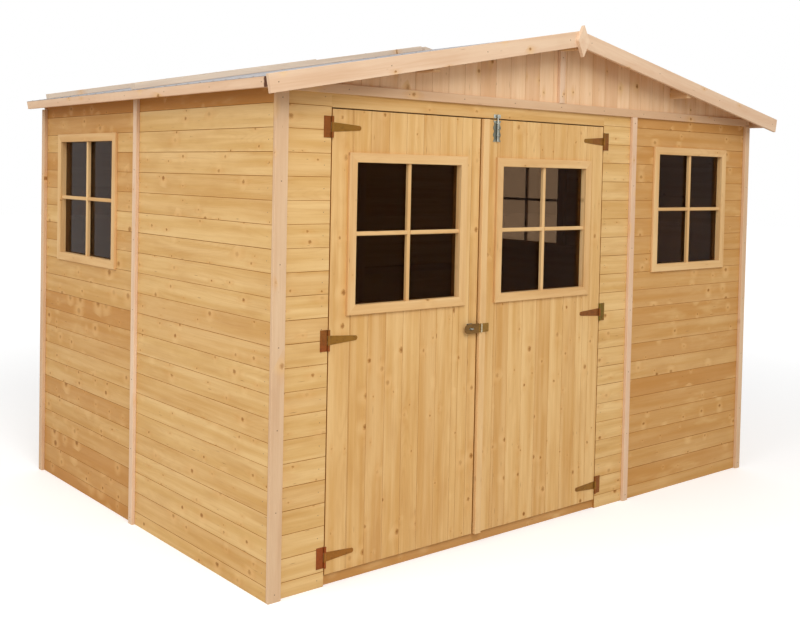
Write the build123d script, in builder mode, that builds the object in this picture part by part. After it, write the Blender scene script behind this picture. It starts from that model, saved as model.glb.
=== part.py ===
from build123d import *

import os
from math import cos, radians, sin, tan

# A flat-packed timber garden shed with a low-pitched gable roof. All lengths are in millimetres.
# The shed stands on z = 0 with its doors facing -Y and +X along its front, and x = 0 is its middle.

# Walls: boards nailed on a light frame, in panels that are screwed together.
width = 3120  # outside the side boards, from left to right
depth = 2200  # from the face of the front boards to the face of the back boards
wall_height = 1930  # front and back panels, up to the foot of the gables
board_thickness = 12
frame_depth = 28  # frame timbers, behind the boards
frame_face = 45  # width of a frame timber
timber_gap = 0.3  # where one frame timber meets another
panel_gap = 0.5  # where two panels meet
front_split = 2102  # from the left corner to the joint beside the window panel
side_share = 0.503  # of the depth, from the front to the joint between the side panels
back_split = 1040  # from each back corner to the joints of the middle panel

# Doorway and its two leaves, measured from the left corner.
doorway_left = 263
head_board_height = 73  # from the doorway's top to the top of the front panels
door_gap = 5  # between each leaf and the jamb, head and sill
meeting_gap = 6  # between the two leaves
left_leaf_width = 789
right_leaf_width = 814
leaf_bottom = 45
ledge_inset = 10  # from a leaf's edge to the frame on its back
sill_height = 40

# Windows: a lining through the wall, a casing round it and one pane.
window_width = 554  # clear width inside the lining
side_window_width = 604
window_height = 560
wall_window_bottom = 1174
door_window_bottom = 1089
front_window_share = 0.481  # of its panel's width, from the panel's left edge to its centre
casing_width = 38
casing_thickness = 12
lining_thickness = 12
window_fit = 1  # round the lining, in the hole through the boards
glass_thickness = 3
glass_setback = 18  # from the face of the boards to the glass
glass_fit = 0.3

# Roof: boarded decks on purlins, covered with felt that is held down by battens.
pitch = 10.9  # degrees
eave_reach = 92  # from the side boards to the outer face of the fascia
eave_above_wall = 14  # from the top of the front panels to the top of the fascia
deck_thickness = 12
felt_thickness = 3
front_reach = 120  # from the front boards to the face of the bargeboards
bargeboard_width = 70
bargeboard_thickness = 16
bargeboard_past_eave = 10  # from the fascia's face to the bargeboard's end
bargeboard_rise = 8  # of its top edge above the roof boards, square to the slope
fascia_height = 38
fascia_thickness = 16
fascia_gap = 14  # between the fascia's front end and the bargeboard
purlin_width = 35
purlin_height = 60
purlin_offset = 857  # from the middle to each side purlin
roof_batten_width = 38
roof_batten_thickness = 24
roof_batten_places = (985, 1950)  # from the front boards
roof_batten_end = 10  # left clear at the eave and at the ridge
finial_width = 76
finial_height = 146
finial_thickness = 17
finial_above_ridge = 33

# Trims on the outside of the walls.
trim_width = 57
trim_thickness = 17
far_trim_width = 38  # of the trim at the front's right end
back_trim_width = 38
cover_width = 35
cover_thickness = 16
gable_rail_height = 38
gable_rail_drop = 20  # from the top of the front panels down to the rail's foot
gable_rail_thickness = 12
verge_clearance = 0.3  # between the back rail's sloping ends and the verge boards

# Tee hinges.
hinge_from_end = 70  # from a leaf's foot or top to the middle of the nearest hinge
middle_hinge_height = 960
hinge_plate_width = 38
hinge_plate_height = 83
hinge_leaf_thickness = 2
knuckle_radius = 5
knuckle_stand_off = 0.5  # between a knuckle and the boards behind it
knuckle_gap = 0.5
knuckle_end_length = 22.5
pin_radius = 2.5
pin_clearance = 0.3
strap_length = 141
strap_tip_width = 19

# Meeting strip, hasp and slide bolt.
hasp_below_window = 141  # from the door windows' clear holes to the middle of the hasp
hasp_strap_length = 83
hasp_strap_width = 42
hasp_thickness = 2
hasp_plate_width = 38
hasp_axis_from_edge = 7  # from the right leaf's edge to the middle of the hasp's knuckle
hasp_plate_reach = 52  # from the right leaf's edge to the end of the plate
hasp_knuckle_radius = 4.5
hasp_clearance = 0.3  # between the strap and the meeting strip's face, from front to back
hasp_gap = 1  # between the strap's end and the leaf's edge
staple_from_edge = 42  # from the leaf's meeting edge to the middle of the staple
staple_width = 18
staple_rod = 5
staple_proud = 9  # in front of the strap
staple_plate = 32
bolt_from_edge = 92  # from the right leaf's meeting edge to the bolt
bolt_plate_width = 46
bolt_plate_height = 92
bolt_plate_top = 4  # below the leaf's top
bolt_plate_thickness = 2
bolt_rod_radius = 4
bolt_rod_lift = 0.5  # between the rod and its plate
bolt_knob_radius = 3
bolt_end_above_head = 19  # of the rod's end, in the keeper
bolt_guide_width = 24
bolt_guide_height = 8
bolt_guide_depth = 13
bolt_guide_places = (12, 66)  # from the plate's top to the middle of each guide
bolt_knob_length = 14
keeper_width = 42
keeper_height = 16
keeper_above_head = 2
keeper_plate_thickness = 2

# Worked out from the sizes above.
wall_thickness = board_thickness + frame_depth
doorway_head = wall_height - head_board_height
eave_top = wall_height + eave_above_wall
gable_rail_bottom = wall_height - gable_rail_drop
side_split = side_share * depth
front_window_centre = front_split + front_window_share * (width - front_split)
hasp_height = door_window_bottom - hasp_below_window
slope = radians(pitch)
half_width = width / 2
eave_half = half_width + eave_reach
ridge_top = eave_top + eave_half * tan(slope)
back_reach = bargeboard_thickness
front_most = front_reach + finial_thickness
front_y = front_most - (front_most + depth + back_reach) / 2
back_y = front_y + depth
deck_front = front_y - front_reach + bargeboard_thickness
deck_back = back_y + back_reach - bargeboard_thickness
leaf_top = doorway_head - door_gap
hinge_heights = (leaf_bottom + hinge_from_end, middle_hinge_height, leaf_top - hinge_from_end)
left_leaf_start = doorway_left + door_gap
left_leaf_end = left_leaf_start + left_leaf_width
right_leaf_start = left_leaf_end + meeting_gap
right_leaf_end = right_leaf_start + right_leaf_width
doorway_right = right_leaf_end + door_gap
hinge_axis_y = front_y - knuckle_radius - knuckle_stand_off
left_hinge_x = doorway_left + door_gap / 2 - half_width
right_hinge_x = doorway_right - door_gap / 2 - half_width

# Each wall's plane lies on the face of its boards, seen from outside: x to the right, y up, z outward.
front_wall = Plane((-half_width, front_y, 0), x_dir=(1, 0, 0), z_dir=(0, -1, 0))
back_wall = Plane((half_width, back_y, 0), x_dir=(-1, 0, 0), z_dir=(0, 1, 0))
left_wall = Plane((-half_width, back_y, 0), x_dir=(0, -1, 0), z_dir=(-1, 0, 0))
right_wall = Plane((half_width, front_y, 0), x_dir=(0, 1, 0), z_dir=(1, 0, 0))


def save(piece, name):
    """Label a finished piece and write it to its STEP file."""
    piece.part.label = name
    export_step(piece.part, f"parts/{name}.step")


def block(low, high, mode=Mode.ADD):
    """A box between two opposite corners, in the part being built."""
    length, breadth, height = (b - a for a, b in zip(low, high))
    with Locations(low):
        Box(length, breadth, height, align=(Align.MIN, Align.MIN, Align.MIN), mode=mode)


def deck_top(x):
    """Height of the top of the roof boards at a distance from the middle."""
    return ridge_top - abs(x) * tan(slope)


def deck_underside(x):
    """Height of the underside of the roof boards at a distance from the middle."""
    return deck_top(x) - deck_thickness / cos(slope)


side_height = deck_underside(half_width)
gable_foot_top = deck_underside(half_width - wall_thickness)
gable_rail_top = gable_rail_bottom + gable_rail_height


# --- Walls -------------------------------------------------------------------------------------


def board_panel(wall, boards, window=None):
    """The boards of one panel. boards is (left, bottom, right, top), window is its clear hole."""
    left, bottom, right, top = boards
    with BuildPart(wall) as panel:
        block((left, bottom, -board_thickness), (right, top, 0))
        if window:
            w_left, w_bottom, w_right, w_top = grown(window, lining_thickness + window_fit)
            block((w_left, w_bottom, -board_thickness), (w_right, w_top, 0), Mode.SUBTRACT)
    return panel


def panel_frame(wall, frame, window=None):
    """The frame behind one panel's boards: rails between two full-height posts."""
    left, bottom, right, top = frame
    rail_left, rail_right = left + frame_face + timber_gap, right - frame_face - timber_gap
    timbers = [
        (left, bottom, left + frame_face, top),
        (right - frame_face, bottom, right, top),
        (rail_left, bottom, rail_right, bottom + frame_face),
        (rail_left, top - frame_face, rail_right, top),
    ]
    if window:
        w_left, w_bottom, w_right, w_top = grown(window, lining_thickness + window_fit)
        timbers += [
            (rail_left, w_bottom - frame_face, rail_right, w_bottom),
            (rail_left, w_top, rail_right, w_top + frame_face),
        ]
        for low, high in ((w_left - frame_face, w_left), (w_right, w_right + frame_face)):
            if low > rail_left and high < rail_right:
                timbers.append((low, w_bottom + timber_gap, high, w_top - timber_gap))
    else:
        middle = (bottom + top) / 2
        timbers.append((rail_left, middle - frame_face / 2, rail_right, middle + frame_face / 2))
    with BuildPart(wall, mode=Mode.PRIVATE) as framing:
        for t_left, t_bottom, t_right, t_top in timbers:
            block((t_left, t_bottom, -wall_thickness), (t_right, t_top, -board_thickness))
    return framing.part


def gable_foot(wall):
    """The timber behind the foot of a gable's boards."""
    bottom = wall_height + timber_gap
    with BuildPart(wall, mode=Mode.PRIVATE) as timber:
        block(
            (wall_thickness, bottom, -wall_thickness),
            (width - wall_thickness, gable_foot_top, -board_thickness),
        )
    return timber.part


def grown(rectangle, by):
    """A rectangle (left, bottom, right, top) made larger by a margin all round."""
    left, bottom, right, top = rectangle
    return left - by, bottom - by, right + by, top + by


def clear_hole(centre, bottom, hole_width):
    """The clear rectangle inside a window's lining."""
    return centre - hole_width / 2, bottom, centre + hole_width / 2, bottom + window_height


def window_frame(wall, hole):
    """A casing round the hole on the outside, and a lining that runs through the wall."""
    left, bottom, right, top = hole
    with BuildPart(wall) as frame:
        for margin, low, high in (
            (casing_width, 0, casing_thickness),
            (lining_thickness, -wall_thickness, 0),
        ):
            outer_left, outer_bottom, outer_right, outer_top = grown(hole, margin)
            block((outer_left, outer_bottom, low), (outer_right, outer_top, high))
        block((left, bottom, -wall_thickness), (right, top, casing_thickness), Mode.SUBTRACT)
    return frame


def window_glass(wall, hole):
    """The pane, which sits just inside the lining."""
    left, bottom, right, top = grown(hole, -glass_fit)
    with BuildPart(wall) as glass:
        block((left, bottom, -glass_setback - glass_thickness), (right, top, -glass_setback))
    return glass


# The side boards run past the front ones, and the back boards run past the side ones.
half_joint = panel_gap / 2
front_left_area = (board_thickness, 0, doorway_left, wall_height)
front_middle_area = (doorway_right, 0, front_split - half_joint, wall_height)
front_window_area = (front_split + half_joint, 0, width - board_thickness, wall_height)
front_window_hole = clear_hole(front_window_centre, wall_window_bottom, window_width)
front_left_boards = board_panel(front_wall, front_left_area)
front_middle_boards = board_panel(front_wall, front_middle_area)
front_window_boards = board_panel(front_wall, front_window_area, front_window_hole)
with BuildPart(front_wall) as front_wall_head:
    block((doorway_left, doorway_head, -wall_thickness), (doorway_right, wall_height, 0))
with BuildPart(front_wall) as door_sill:
    block((doorway_left, 0, -wall_thickness), (doorway_right, sill_height, -board_thickness))
with BuildPart() as front_wall_frame:
    add(panel_frame(front_wall, front_left_area))
    add(panel_frame(front_wall, front_middle_area))
    add(panel_frame(front_wall, front_window_area, front_window_hole))
    add(gable_foot(front_wall))

side_far = depth - side_split  # from the back to the side joint, along the left wall's plane
left_window_hole = clear_hole(side_far / 2, wall_window_bottom, side_window_width)
left_front_boards = board_panel(left_wall, (side_far + half_joint, 0, depth, side_height))
left_window_boards = board_panel(
    left_wall, (board_thickness, 0, side_far - half_joint, side_height), left_window_hole
)
with BuildPart() as left_wall_frame:
    add(panel_frame(left_wall, (side_far + half_joint, 0, depth - wall_thickness, side_height)))
    add(
        panel_frame(
            left_wall, (wall_thickness, 0, side_far - half_joint, side_height), left_window_hole
        )
    )

right_window_hole = clear_hole(depth - side_far / 2, wall_window_bottom, side_window_width)
right_front_boards = board_panel(right_wall, (0, 0, side_split - half_joint, side_height))
right_window_boards = board_panel(
    right_wall, (side_split + half_joint, 0, depth - board_thickness, side_height), right_window_hole
)
with BuildPart() as right_wall_frame:
    add(panel_frame(right_wall, (wall_thickness, 0, side_split - half_joint, side_height)))
    add(
        panel_frame(
            right_wall,
            (side_split + half_joint, 0, depth - wall_thickness, side_height),
            right_window_hole,
        )
    )

back_joints = (0, back_split, width - back_split, width)
with BuildPart() as back_wall_boards:
    for left, right in zip(back_joints, back_joints[1:]):
        start = left + half_joint if left else left
        end = right - half_joint if right < width else right
        with BuildPart(back_wall, mode=Mode.PRIVATE) as back_panel:
            block((start, 0, -board_thickness), (end, wall_height, 0))
        add(back_panel.part)
with BuildPart() as back_wall_frame:
    for left, right in zip(back_joints, back_joints[1:]):
        start = max(left + half_joint, board_thickness)
        end = min(right - half_joint, width - board_thickness)
        add(panel_frame(back_wall, (start, 0, end, wall_height)))
    add(gable_foot(back_wall))


def purlin_section(x):
    """Left, right, bottom and top of the purlin whose middle is at x."""
    left, right = x - purlin_width / 2, x + purlin_width / 2
    top = deck_underside(max(abs(left), abs(right)))
    return left, right, top - purlin_height, top


purlin_places = (-purlin_offset, 0, purlin_offset)


def gable(face_y, inward, half_span):
    """The triangle of boards above a wall, notched for the purlins."""
    outline = [
        (-half_span, wall_height),
        (half_span, wall_height),
        (half_span, deck_underside(half_span)),
        (0, deck_underside(0)),
        (-half_span, deck_underside(half_span)),
    ]
    with BuildPart() as boards:
        with BuildSketch(Plane.XZ.offset(-face_y)):
            with BuildLine():
                Polyline(*outline, close=True)
            make_face()
        extrude(amount=-inward * board_thickness)
        for x in purlin_places:
            left, right, bottom, top = purlin_section(x)
            block((left, front_y, bottom), (right, back_y, top + purlin_height), Mode.SUBTRACT)
    return boards


front_gable = gable(front_y, 1, half_width - board_thickness)
back_gable = gable(back_y, -1, half_width)


# --- Roof --------------------------------------------------------------------------------------


def along_roof(side, near, far, lift, thickness):
    """Outline of a layer on one slope: side is -1 or 1, near and far are distances from the middle,
    lift is how far above the roof boards' top it starts, square to the slope."""
    low, high = lift / cos(slope), (lift + thickness) / cos(slope)
    return [
        (side * near, deck_top(near) + low),
        (side * near, deck_top(near) + high),
        (side * far, deck_top(far) + high),
        (side * far, deck_top(far) + low),
    ]


def extruded_outline(outline, start_y, end_y):
    """An outline of (x, z) points run from start_y back to end_y, in the part being built."""
    with BuildSketch(Plane.XZ.offset(-start_y)) as section:
        with BuildLine():
            Polyline(*outline, close=True)
        make_face()
    extrude(section.sketch, amount=start_y - end_y)


def roof_deck(side):
    """Roof boards on one slope, from the ridge to the back of the fascia."""
    with BuildPart() as deck:
        extruded_outline(
            along_roof(side, 0, eave_half - fascia_thickness, -deck_thickness, deck_thickness),
            deck_front,
            deck_back,
        )
    return deck


def verge_board(side, board_width, reach, rise, start_y, end_y):
    """A board along one slope's end, cut plumb at the ridge and square at the eave: rise is how far
    its top edge stands above the roof boards, square to the slope."""
    drop = board_width / cos(slope)
    end_x = eave_half + reach
    ridge_x = side * timber_gap / 2
    end_top = deck_top(end_x) + rise / cos(slope)
    ridge_end_top = deck_top(ridge_x) + rise / cos(slope)
    outline = [
        (ridge_x, ridge_end_top),
        (side * end_x, end_top),
        (side * (end_x - board_width * sin(slope)), end_top - board_width * cos(slope)),
        (ridge_x, ridge_end_top - drop),
    ]
    with BuildPart() as board:
        extruded_outline(outline, start_y, end_y)
    return board


with BuildPart() as purlins:
    for place in purlin_places:
        left, right, bottom, top = purlin_section(place)
        block((left, deck_front, bottom), (right, deck_back, top))

with BuildPart() as roof_felt:
    for slope_side in (-1, 1):
        extruded_outline(
            along_roof(slope_side, 0, eave_half, 0, felt_thickness),
            deck_front,
            deck_back + bargeboard_thickness,
        )

with BuildPart() as roof_battens:
    for slope_side in (-1, 1):
        for place in roof_batten_places:
            start = front_y + place - roof_batten_width / 2
            extruded_outline(
                along_roof(
                    slope_side,
                    roof_batten_end,
                    eave_half - roof_batten_end,
                    felt_thickness,
                    roof_batten_thickness,
                ),
                start,
                start + roof_batten_width,
            )

with BuildPart() as eave_fascias:
    for edge in (-eave_half, eave_half - fascia_thickness):
        block(
            (edge, deck_front + fascia_gap, eave_top - fascia_height),
            (edge + fascia_thickness, deck_back, eave_top),
        )

bargeboards = {
    side: verge_board(
        side,
        bargeboard_width,
        bargeboard_past_eave,
        bargeboard_rise,
        deck_front - bargeboard_thickness,
        deck_front,
    )
    for side in (-1, 1)
}
with BuildPart() as back_verge_boards:
    for slope_side in (-1, 1):
        back_verge = verge_board(
            slope_side, fascia_height, 0, 0, deck_back, deck_back + bargeboard_thickness
        )
        add(back_verge.part)

finial_top = ridge_top + finial_above_ridge
with BuildPart() as finial:
    extruded_outline(
        [
            (0, finial_top),
            (finial_width / 2, finial_top - finial_height / 2),
            (0, finial_top - finial_height),
            (-finial_width / 2, finial_top - finial_height / 2),
        ],
        front_y - front_reach - finial_thickness,
        front_y - front_reach,
    )


# --- Trims -------------------------------------------------------------------------------------

with BuildPart(front_wall) as front_corner_trims:
    for start, end in ((0, trim_width), (width - far_trim_width, width)):
        block((start, 0, 0), (end, gable_rail_bottom, trim_thickness))

with BuildPart() as back_corner_trims:
    for wall, start in ((left_wall, 0), (right_wall, depth - back_trim_width)):
        with BuildPart(wall, mode=Mode.PRIVATE) as back_trim:
            block((start, 0, 0), (start + back_trim_width, eave_top - fascia_height, trim_thickness))
        add(back_trim.part)


def cover_strip(wall, centre, top):
    """A cover batten over the joint between two panels."""
    with BuildPart(wall, mode=Mode.PRIVATE) as strip:
        block((centre - cover_width / 2, 0, 0), (centre + cover_width / 2, top, cover_thickness))
    return strip.part


with BuildPart() as cover_battens:
    add(cover_strip(front_wall, front_split, gable_rail_bottom))
    side_cover_top = deck_underside(half_width + cover_thickness)
    add(cover_strip(left_wall, side_far, side_cover_top))
    add(cover_strip(right_wall, side_split, side_cover_top))
    for joint in (back_split, width - back_split):
        add(cover_strip(back_wall, joint, gable_rail_bottom))
    for start in (front_y - cover_thickness, back_y):
        block(
            (-cover_width / 2, start, gable_rail_top),
            (cover_width / 2, start + cover_thickness, purlin_section(0)[2]),
        )

verge_depth = fascia_height / cos(slope)  # of a back verge board, measured plumb
back_rail_end = deck_top(half_width) - verge_depth - verge_clearance
back_rail_shoulder = half_width - (gable_rail_top - back_rail_end) / tan(slope)
with BuildPart() as gable_rails:
    block(
        (-half_width, front_y - gable_rail_thickness, gable_rail_bottom),
        (half_width, front_y, gable_rail_top),
    )
    extruded_outline(
        [
            (-half_width, gable_rail_bottom),
            (half_width, gable_rail_bottom),
            (half_width, back_rail_end),
            (back_rail_shoulder, gable_rail_top),
            (-back_rail_shoulder, gable_rail_top),
            (-half_width, back_rail_end),
        ],
        back_y,
        back_y + gable_rail_thickness,
    )

# --- Door leaves -------------------------------------------------------------------------------


left_leaf = (left_leaf_start, leaf_bottom, left_leaf_end, leaf_top)
right_leaf = (right_leaf_start, leaf_bottom, right_leaf_end, leaf_top)
left_door_hole = clear_hole((left_leaf_start + left_leaf_end) / 2, door_window_bottom, window_width)
right_door_hole = clear_hole((right_leaf_start + right_leaf_end) / 2, door_window_bottom, window_width)
left_door_boards = board_panel(front_wall, left_leaf, left_door_hole)
right_door_boards = board_panel(front_wall, right_leaf, right_door_hole)
with BuildPart() as left_door_frame:
    add(panel_frame(front_wall, grown(left_leaf, -ledge_inset), left_door_hole))
with BuildPart() as right_door_frame:
    add(panel_frame(front_wall, grown(right_leaf, -ledge_inset), right_door_hole))

with BuildPart(front_wall) as meeting_strip:
    block((right_leaf_start, leaf_bottom, 0), (right_leaf_start + cover_width, leaf_top, cover_thickness))


# --- Hinges ------------------------------------------------------------------------------------

strap_knuckle_length = hinge_plate_height - 2 * (knuckle_end_length + knuckle_gap)


def hinge_plates(axis_x, away):
    """The plates on the wall with their end knuckles and pins. away is -1 or 1, from the leaf."""
    for height in hinge_heights:
        bottom = height - hinge_plate_height / 2
        edge = axis_x + away * hinge_plate_width
        notch = axis_x + away * (knuckle_radius + knuckle_gap)
        for start in (bottom, bottom + hinge_plate_height - knuckle_end_length):
            with Locations((axis_x, hinge_axis_y, start)):
                Cylinder(knuckle_radius, knuckle_end_length, align=(Align.CENTER, Align.CENTER, Align.MIN))
            block(
                (min(axis_x, edge), front_y - hinge_leaf_thickness, start),
                (max(axis_x, edge), front_y, start + knuckle_end_length),
            )
        with Locations((axis_x, hinge_axis_y, bottom)):
            Cylinder(pin_radius, hinge_plate_height, align=(Align.CENTER, Align.CENTER, Align.MIN))
        block(
            (min(notch, edge), front_y - hinge_leaf_thickness, bottom),
            (max(notch, edge), front_y, bottom + hinge_plate_height),
        )


with BuildPart() as hinge_plates_on_wall:
    hinge_plates(left_hinge_x, -1)
    hinge_plates(right_hinge_x, 1)


def hinge_straps(axis_x, toward):
    """Three tapered straps with their middle knuckles. toward is 1 or -1, over the leaf."""
    tip = strap_tip_width / 2
    root = strap_knuckle_length / 2
    with BuildPart() as straps:
        for height in hinge_heights:
            with BuildSketch(Plane.XZ.offset(-front_y)):
                with BuildLine():
                    straight = axis_x + toward * (strap_length - tip)
                    Polyline(
                        (straight, height + tip),
                        (axis_x, height + root),
                        (axis_x, height - root),
                        (straight, height - tip),
                    )
                    ThreePointArc(
                        (straight, height - tip),
                        (axis_x + toward * strap_length, height),
                        (straight, height + tip),
                    )
                make_face()
            extrude(amount=hinge_leaf_thickness)
            with Locations((axis_x, hinge_axis_y, height)):
                Cylinder(knuckle_radius, strap_knuckle_length)
                Cylinder(pin_radius + pin_clearance, strap_knuckle_length, mode=Mode.SUBTRACT)
    return straps


left_door_straps = hinge_straps(left_hinge_x, 1)
right_door_straps = hinge_straps(right_hinge_x, -1)


# --- Hasp --------------------------------------------------------------------------------------

hasp_back = cover_thickness + hasp_clearance  # under the strap, in front of the boards
staple_x = left_leaf_end - staple_from_edge

with BuildPart(front_wall) as hasp_strap:
    strap_end = left_leaf_end - hasp_gap
    round_start = strap_end - hasp_strap_length + hasp_strap_width / 2
    with BuildSketch(front_wall.offset(hasp_back)):
        with BuildLine():
            Polyline(
                (round_start, hasp_height - hasp_strap_width / 2),
                (strap_end, hasp_height - hasp_strap_width / 2),
                (strap_end, hasp_height + hasp_strap_width / 2),
                (round_start, hasp_height + hasp_strap_width / 2),
            )
            ThreePointArc(
                (round_start, hasp_height + hasp_strap_width / 2),
                (strap_end - hasp_strap_length, hasp_height),
                (round_start, hasp_height - hasp_strap_width / 2),
            )
        make_face()
    extrude(amount=hasp_thickness)
    for side in (-1, 1):
        leg_x = staple_x + side * (staple_width - staple_rod) / 2
        with Locations((leg_x, hasp_height, hasp_back)):
            Cylinder(
                staple_rod / 2,
                hasp_thickness,
                align=(Align.CENTER, Align.CENTER, Align.MIN),
                mode=Mode.SUBTRACT,
            )

staple_crown = hasp_back + hasp_thickness + staple_proud
with BuildPart(front_wall) as hasp_staple:
    block(
        (staple_x - staple_plate / 2, hasp_height - hasp_strap_width / 2, 0),
        (staple_x + staple_plate / 2, hasp_height + hasp_strap_width / 2, hasp_thickness),
    )
    for side in (-1, 1):
        leg_x = staple_x + side * (staple_width - staple_rod) / 2
        with Locations((leg_x, hasp_height, 0)):
            Cylinder(staple_rod / 2, staple_crown, align=(Align.CENTER, Align.CENTER, Align.MIN))
    half_bridge = (staple_width - staple_rod) / 2
    block(
        (staple_x - half_bridge, hasp_height - staple_rod / 2, staple_crown - staple_rod),
        (staple_x + half_bridge, hasp_height + staple_rod / 2, staple_crown),
    )

hasp_axis_x = right_leaf_start + hasp_axis_from_edge
with BuildPart(front_wall) as hasp_plate:
    block(
        (hasp_axis_x, hasp_height - hasp_plate_width / 2, cover_thickness),
        (
            right_leaf_start + hasp_plate_reach,
            hasp_height + hasp_plate_width / 2,
            cover_thickness + hasp_thickness,
        ),
    )
    knuckle_foot = (
        hasp_axis_x,
        hasp_height - hasp_plate_width / 2,
        cover_thickness + hasp_knuckle_radius,
    )
    with Locations(Location(knuckle_foot, (-90, 0, 0))):
        Cylinder(
            hasp_knuckle_radius,
            hasp_plate_width,
            align=(Align.CENTER, Align.CENTER, Align.MIN),
        )


# --- Slide bolt --------------------------------------------------------------------------------

bolt_x = right_leaf_start + bolt_from_edge
bolt_top = leaf_top - bolt_plate_top
bolt_axis = bolt_plate_thickness + bolt_rod_lift + bolt_rod_radius  # in front of the boards


def upright_rod(bottom, top):
    """A length of the bolt's rod, in the part being built."""
    with Locations(Location((bolt_x, bottom, bolt_axis), (-90, 0, 0))):
        Cylinder(bolt_rod_radius, top - bottom, align=(Align.CENTER, Align.CENTER, Align.MIN))


with BuildPart(front_wall) as slide_bolt:
    block(
        (bolt_x - bolt_plate_width / 2, bolt_top - bolt_plate_height, 0),
        (bolt_x + bolt_plate_width / 2, bolt_top, bolt_plate_thickness),
    )
    upright_rod(bolt_top - bolt_plate_height, leaf_top)
    for place in bolt_guide_places:
        middle = bolt_top - place
        block(
            (bolt_x - bolt_guide_width / 2, middle - bolt_guide_height / 2, 0),
            (bolt_x + bolt_guide_width / 2, middle + bolt_guide_height / 2, bolt_guide_depth),
        )
    knob_z = bolt_top - sum(bolt_guide_places) / 2
    with Locations((bolt_x, knob_z, bolt_axis)):
        Cylinder(bolt_knob_radius, bolt_knob_length, align=(Align.CENTER, Align.CENTER, Align.MIN))

with BuildPart(front_wall) as bolt_keeper:
    upright_rod(doorway_head, doorway_head + bolt_end_above_head)
    keeper_bottom = doorway_head + keeper_above_head
    for keeper_piece_width, depth_out in (
        (keeper_width, keeper_plate_thickness),
        (bolt_guide_width, bolt_guide_depth),
    ):
        block(
            (bolt_x - keeper_piece_width / 2, keeper_bottom, 0),
            (bolt_x + keeper_piece_width / 2, keeper_bottom + keeper_height, depth_out),
        )


# --- Files -------------------------------------------------------------------------------------

os.makedirs("parts", exist_ok=True)

save(front_left_boards, "front_left_boards")
save(front_middle_boards, "front_middle_boards")
save(front_window_boards, "front_window_boards")
save(front_wall_head, "front_wall_head")
save(door_sill, "door_sill")
save(left_front_boards, "left_front_boards")
save(left_window_boards, "left_window_boards")
save(right_front_boards, "right_front_boards")
save(right_window_boards, "right_window_boards")
save(back_wall_boards, "back_wall_boards")
save(front_wall_frame, "front_wall_frame")
save(left_wall_frame, "left_wall_frame")
save(right_wall_frame, "right_wall_frame")
save(back_wall_frame, "back_wall_frame")
save(front_gable, "front_gable")
save(back_gable, "back_gable")

save(purlins, "purlins")
save(roof_deck(-1), "left_roof_deck")
save(roof_deck(1), "right_roof_deck")
save(roof_felt, "roof_felt")
save(roof_battens, "roof_battens")
save(eave_fascias, "eave_fascias")
save(bargeboards[-1], "left_bargeboard")
save(bargeboards[1], "right_bargeboard")
save(back_verge_boards, "back_verge_boards")
save(finial, "finial")

save(front_corner_trims, "front_corner_trims")
save(back_corner_trims, "back_corner_trims")
save(cover_battens, "cover_battens")
save(gable_rails, "gable_rails")

for wall, hole, place in (
    (front_wall, front_window_hole, "front"),
    (left_wall, left_window_hole, "left"),
    (right_wall, right_window_hole, "right"),
    (front_wall, left_door_hole, "left_door"),
    (front_wall, right_door_hole, "right_door"),
):
    save(window_frame(wall, hole), f"{place}_window_frame")
    save(window_glass(wall, hole), f"{place}_window_glass")

save(left_door_boards, "left_door_boards")
save(left_door_frame, "left_door_frame")
save(right_door_boards, "right_door_boards")
save(right_door_frame, "right_door_frame")
save(meeting_strip, "meeting_strip")
save(hinge_plates_on_wall, "hinge_plates")
save(left_door_straps, "left_door_straps")
save(right_door_straps, "right_door_straps")
save(hasp_strap, "hasp_strap")
save(hasp_staple, "hasp_staple")
save(hasp_plate, "hasp_plate")
save(slide_bolt, "slide_bolt")
save(bolt_keeper, "bolt_keeper")
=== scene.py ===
# %% [markdown]
# # A timber garden shed
# This lesson dresses a finished CAD model of a shed so that it looks like the real thing. The CAD
# model is loaded as a fixed frame. Boards, battens, joinery and ironmongery are then made to lie
# exactly where the frame says, and each finish is built from shader nodes.

import random
from math import atan2, cos, degrees, pi, radians, sin, tan

import bpy
import bmesh
from mathutils import Matrix, Vector


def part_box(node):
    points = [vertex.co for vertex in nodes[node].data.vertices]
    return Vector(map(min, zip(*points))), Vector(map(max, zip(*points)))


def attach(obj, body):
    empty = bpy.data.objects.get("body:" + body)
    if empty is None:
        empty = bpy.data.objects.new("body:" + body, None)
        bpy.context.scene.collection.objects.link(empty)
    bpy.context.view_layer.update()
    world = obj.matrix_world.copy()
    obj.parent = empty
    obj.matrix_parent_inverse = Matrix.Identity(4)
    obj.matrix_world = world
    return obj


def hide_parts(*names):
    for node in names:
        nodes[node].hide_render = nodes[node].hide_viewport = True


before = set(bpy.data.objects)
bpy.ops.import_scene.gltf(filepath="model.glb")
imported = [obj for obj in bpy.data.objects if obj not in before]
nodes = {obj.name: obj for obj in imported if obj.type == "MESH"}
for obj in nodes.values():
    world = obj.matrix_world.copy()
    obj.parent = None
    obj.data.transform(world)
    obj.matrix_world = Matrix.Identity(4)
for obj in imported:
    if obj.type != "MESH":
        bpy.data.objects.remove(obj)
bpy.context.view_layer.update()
scene = bpy.context.scene

# %% [markdown]
# ## Reading sizes from the frame
# The shed stands on a rectangle, clad in courses of boards under a roof of two slopes. Its sizes
# could be typed in, but they would go stale when the model changes. So what the model knows is read
# from the frame, and only what the looks need gets a number here.

# %% Sizes that the whole shed shares
front_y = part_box("front_left_boards")[0].y
back_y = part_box("back_wall_boards")[1].y
half_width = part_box("back_wall_boards")[1].x
board_thickness = 0.012
board_pitch = 0.090
top_joint = 1.860  # height of the joint above the doorway, from which the courses are counted
print("walls:", round(2 * half_width, 3), "m wide and", round(back_y - front_y, 3), "m deep")


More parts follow.
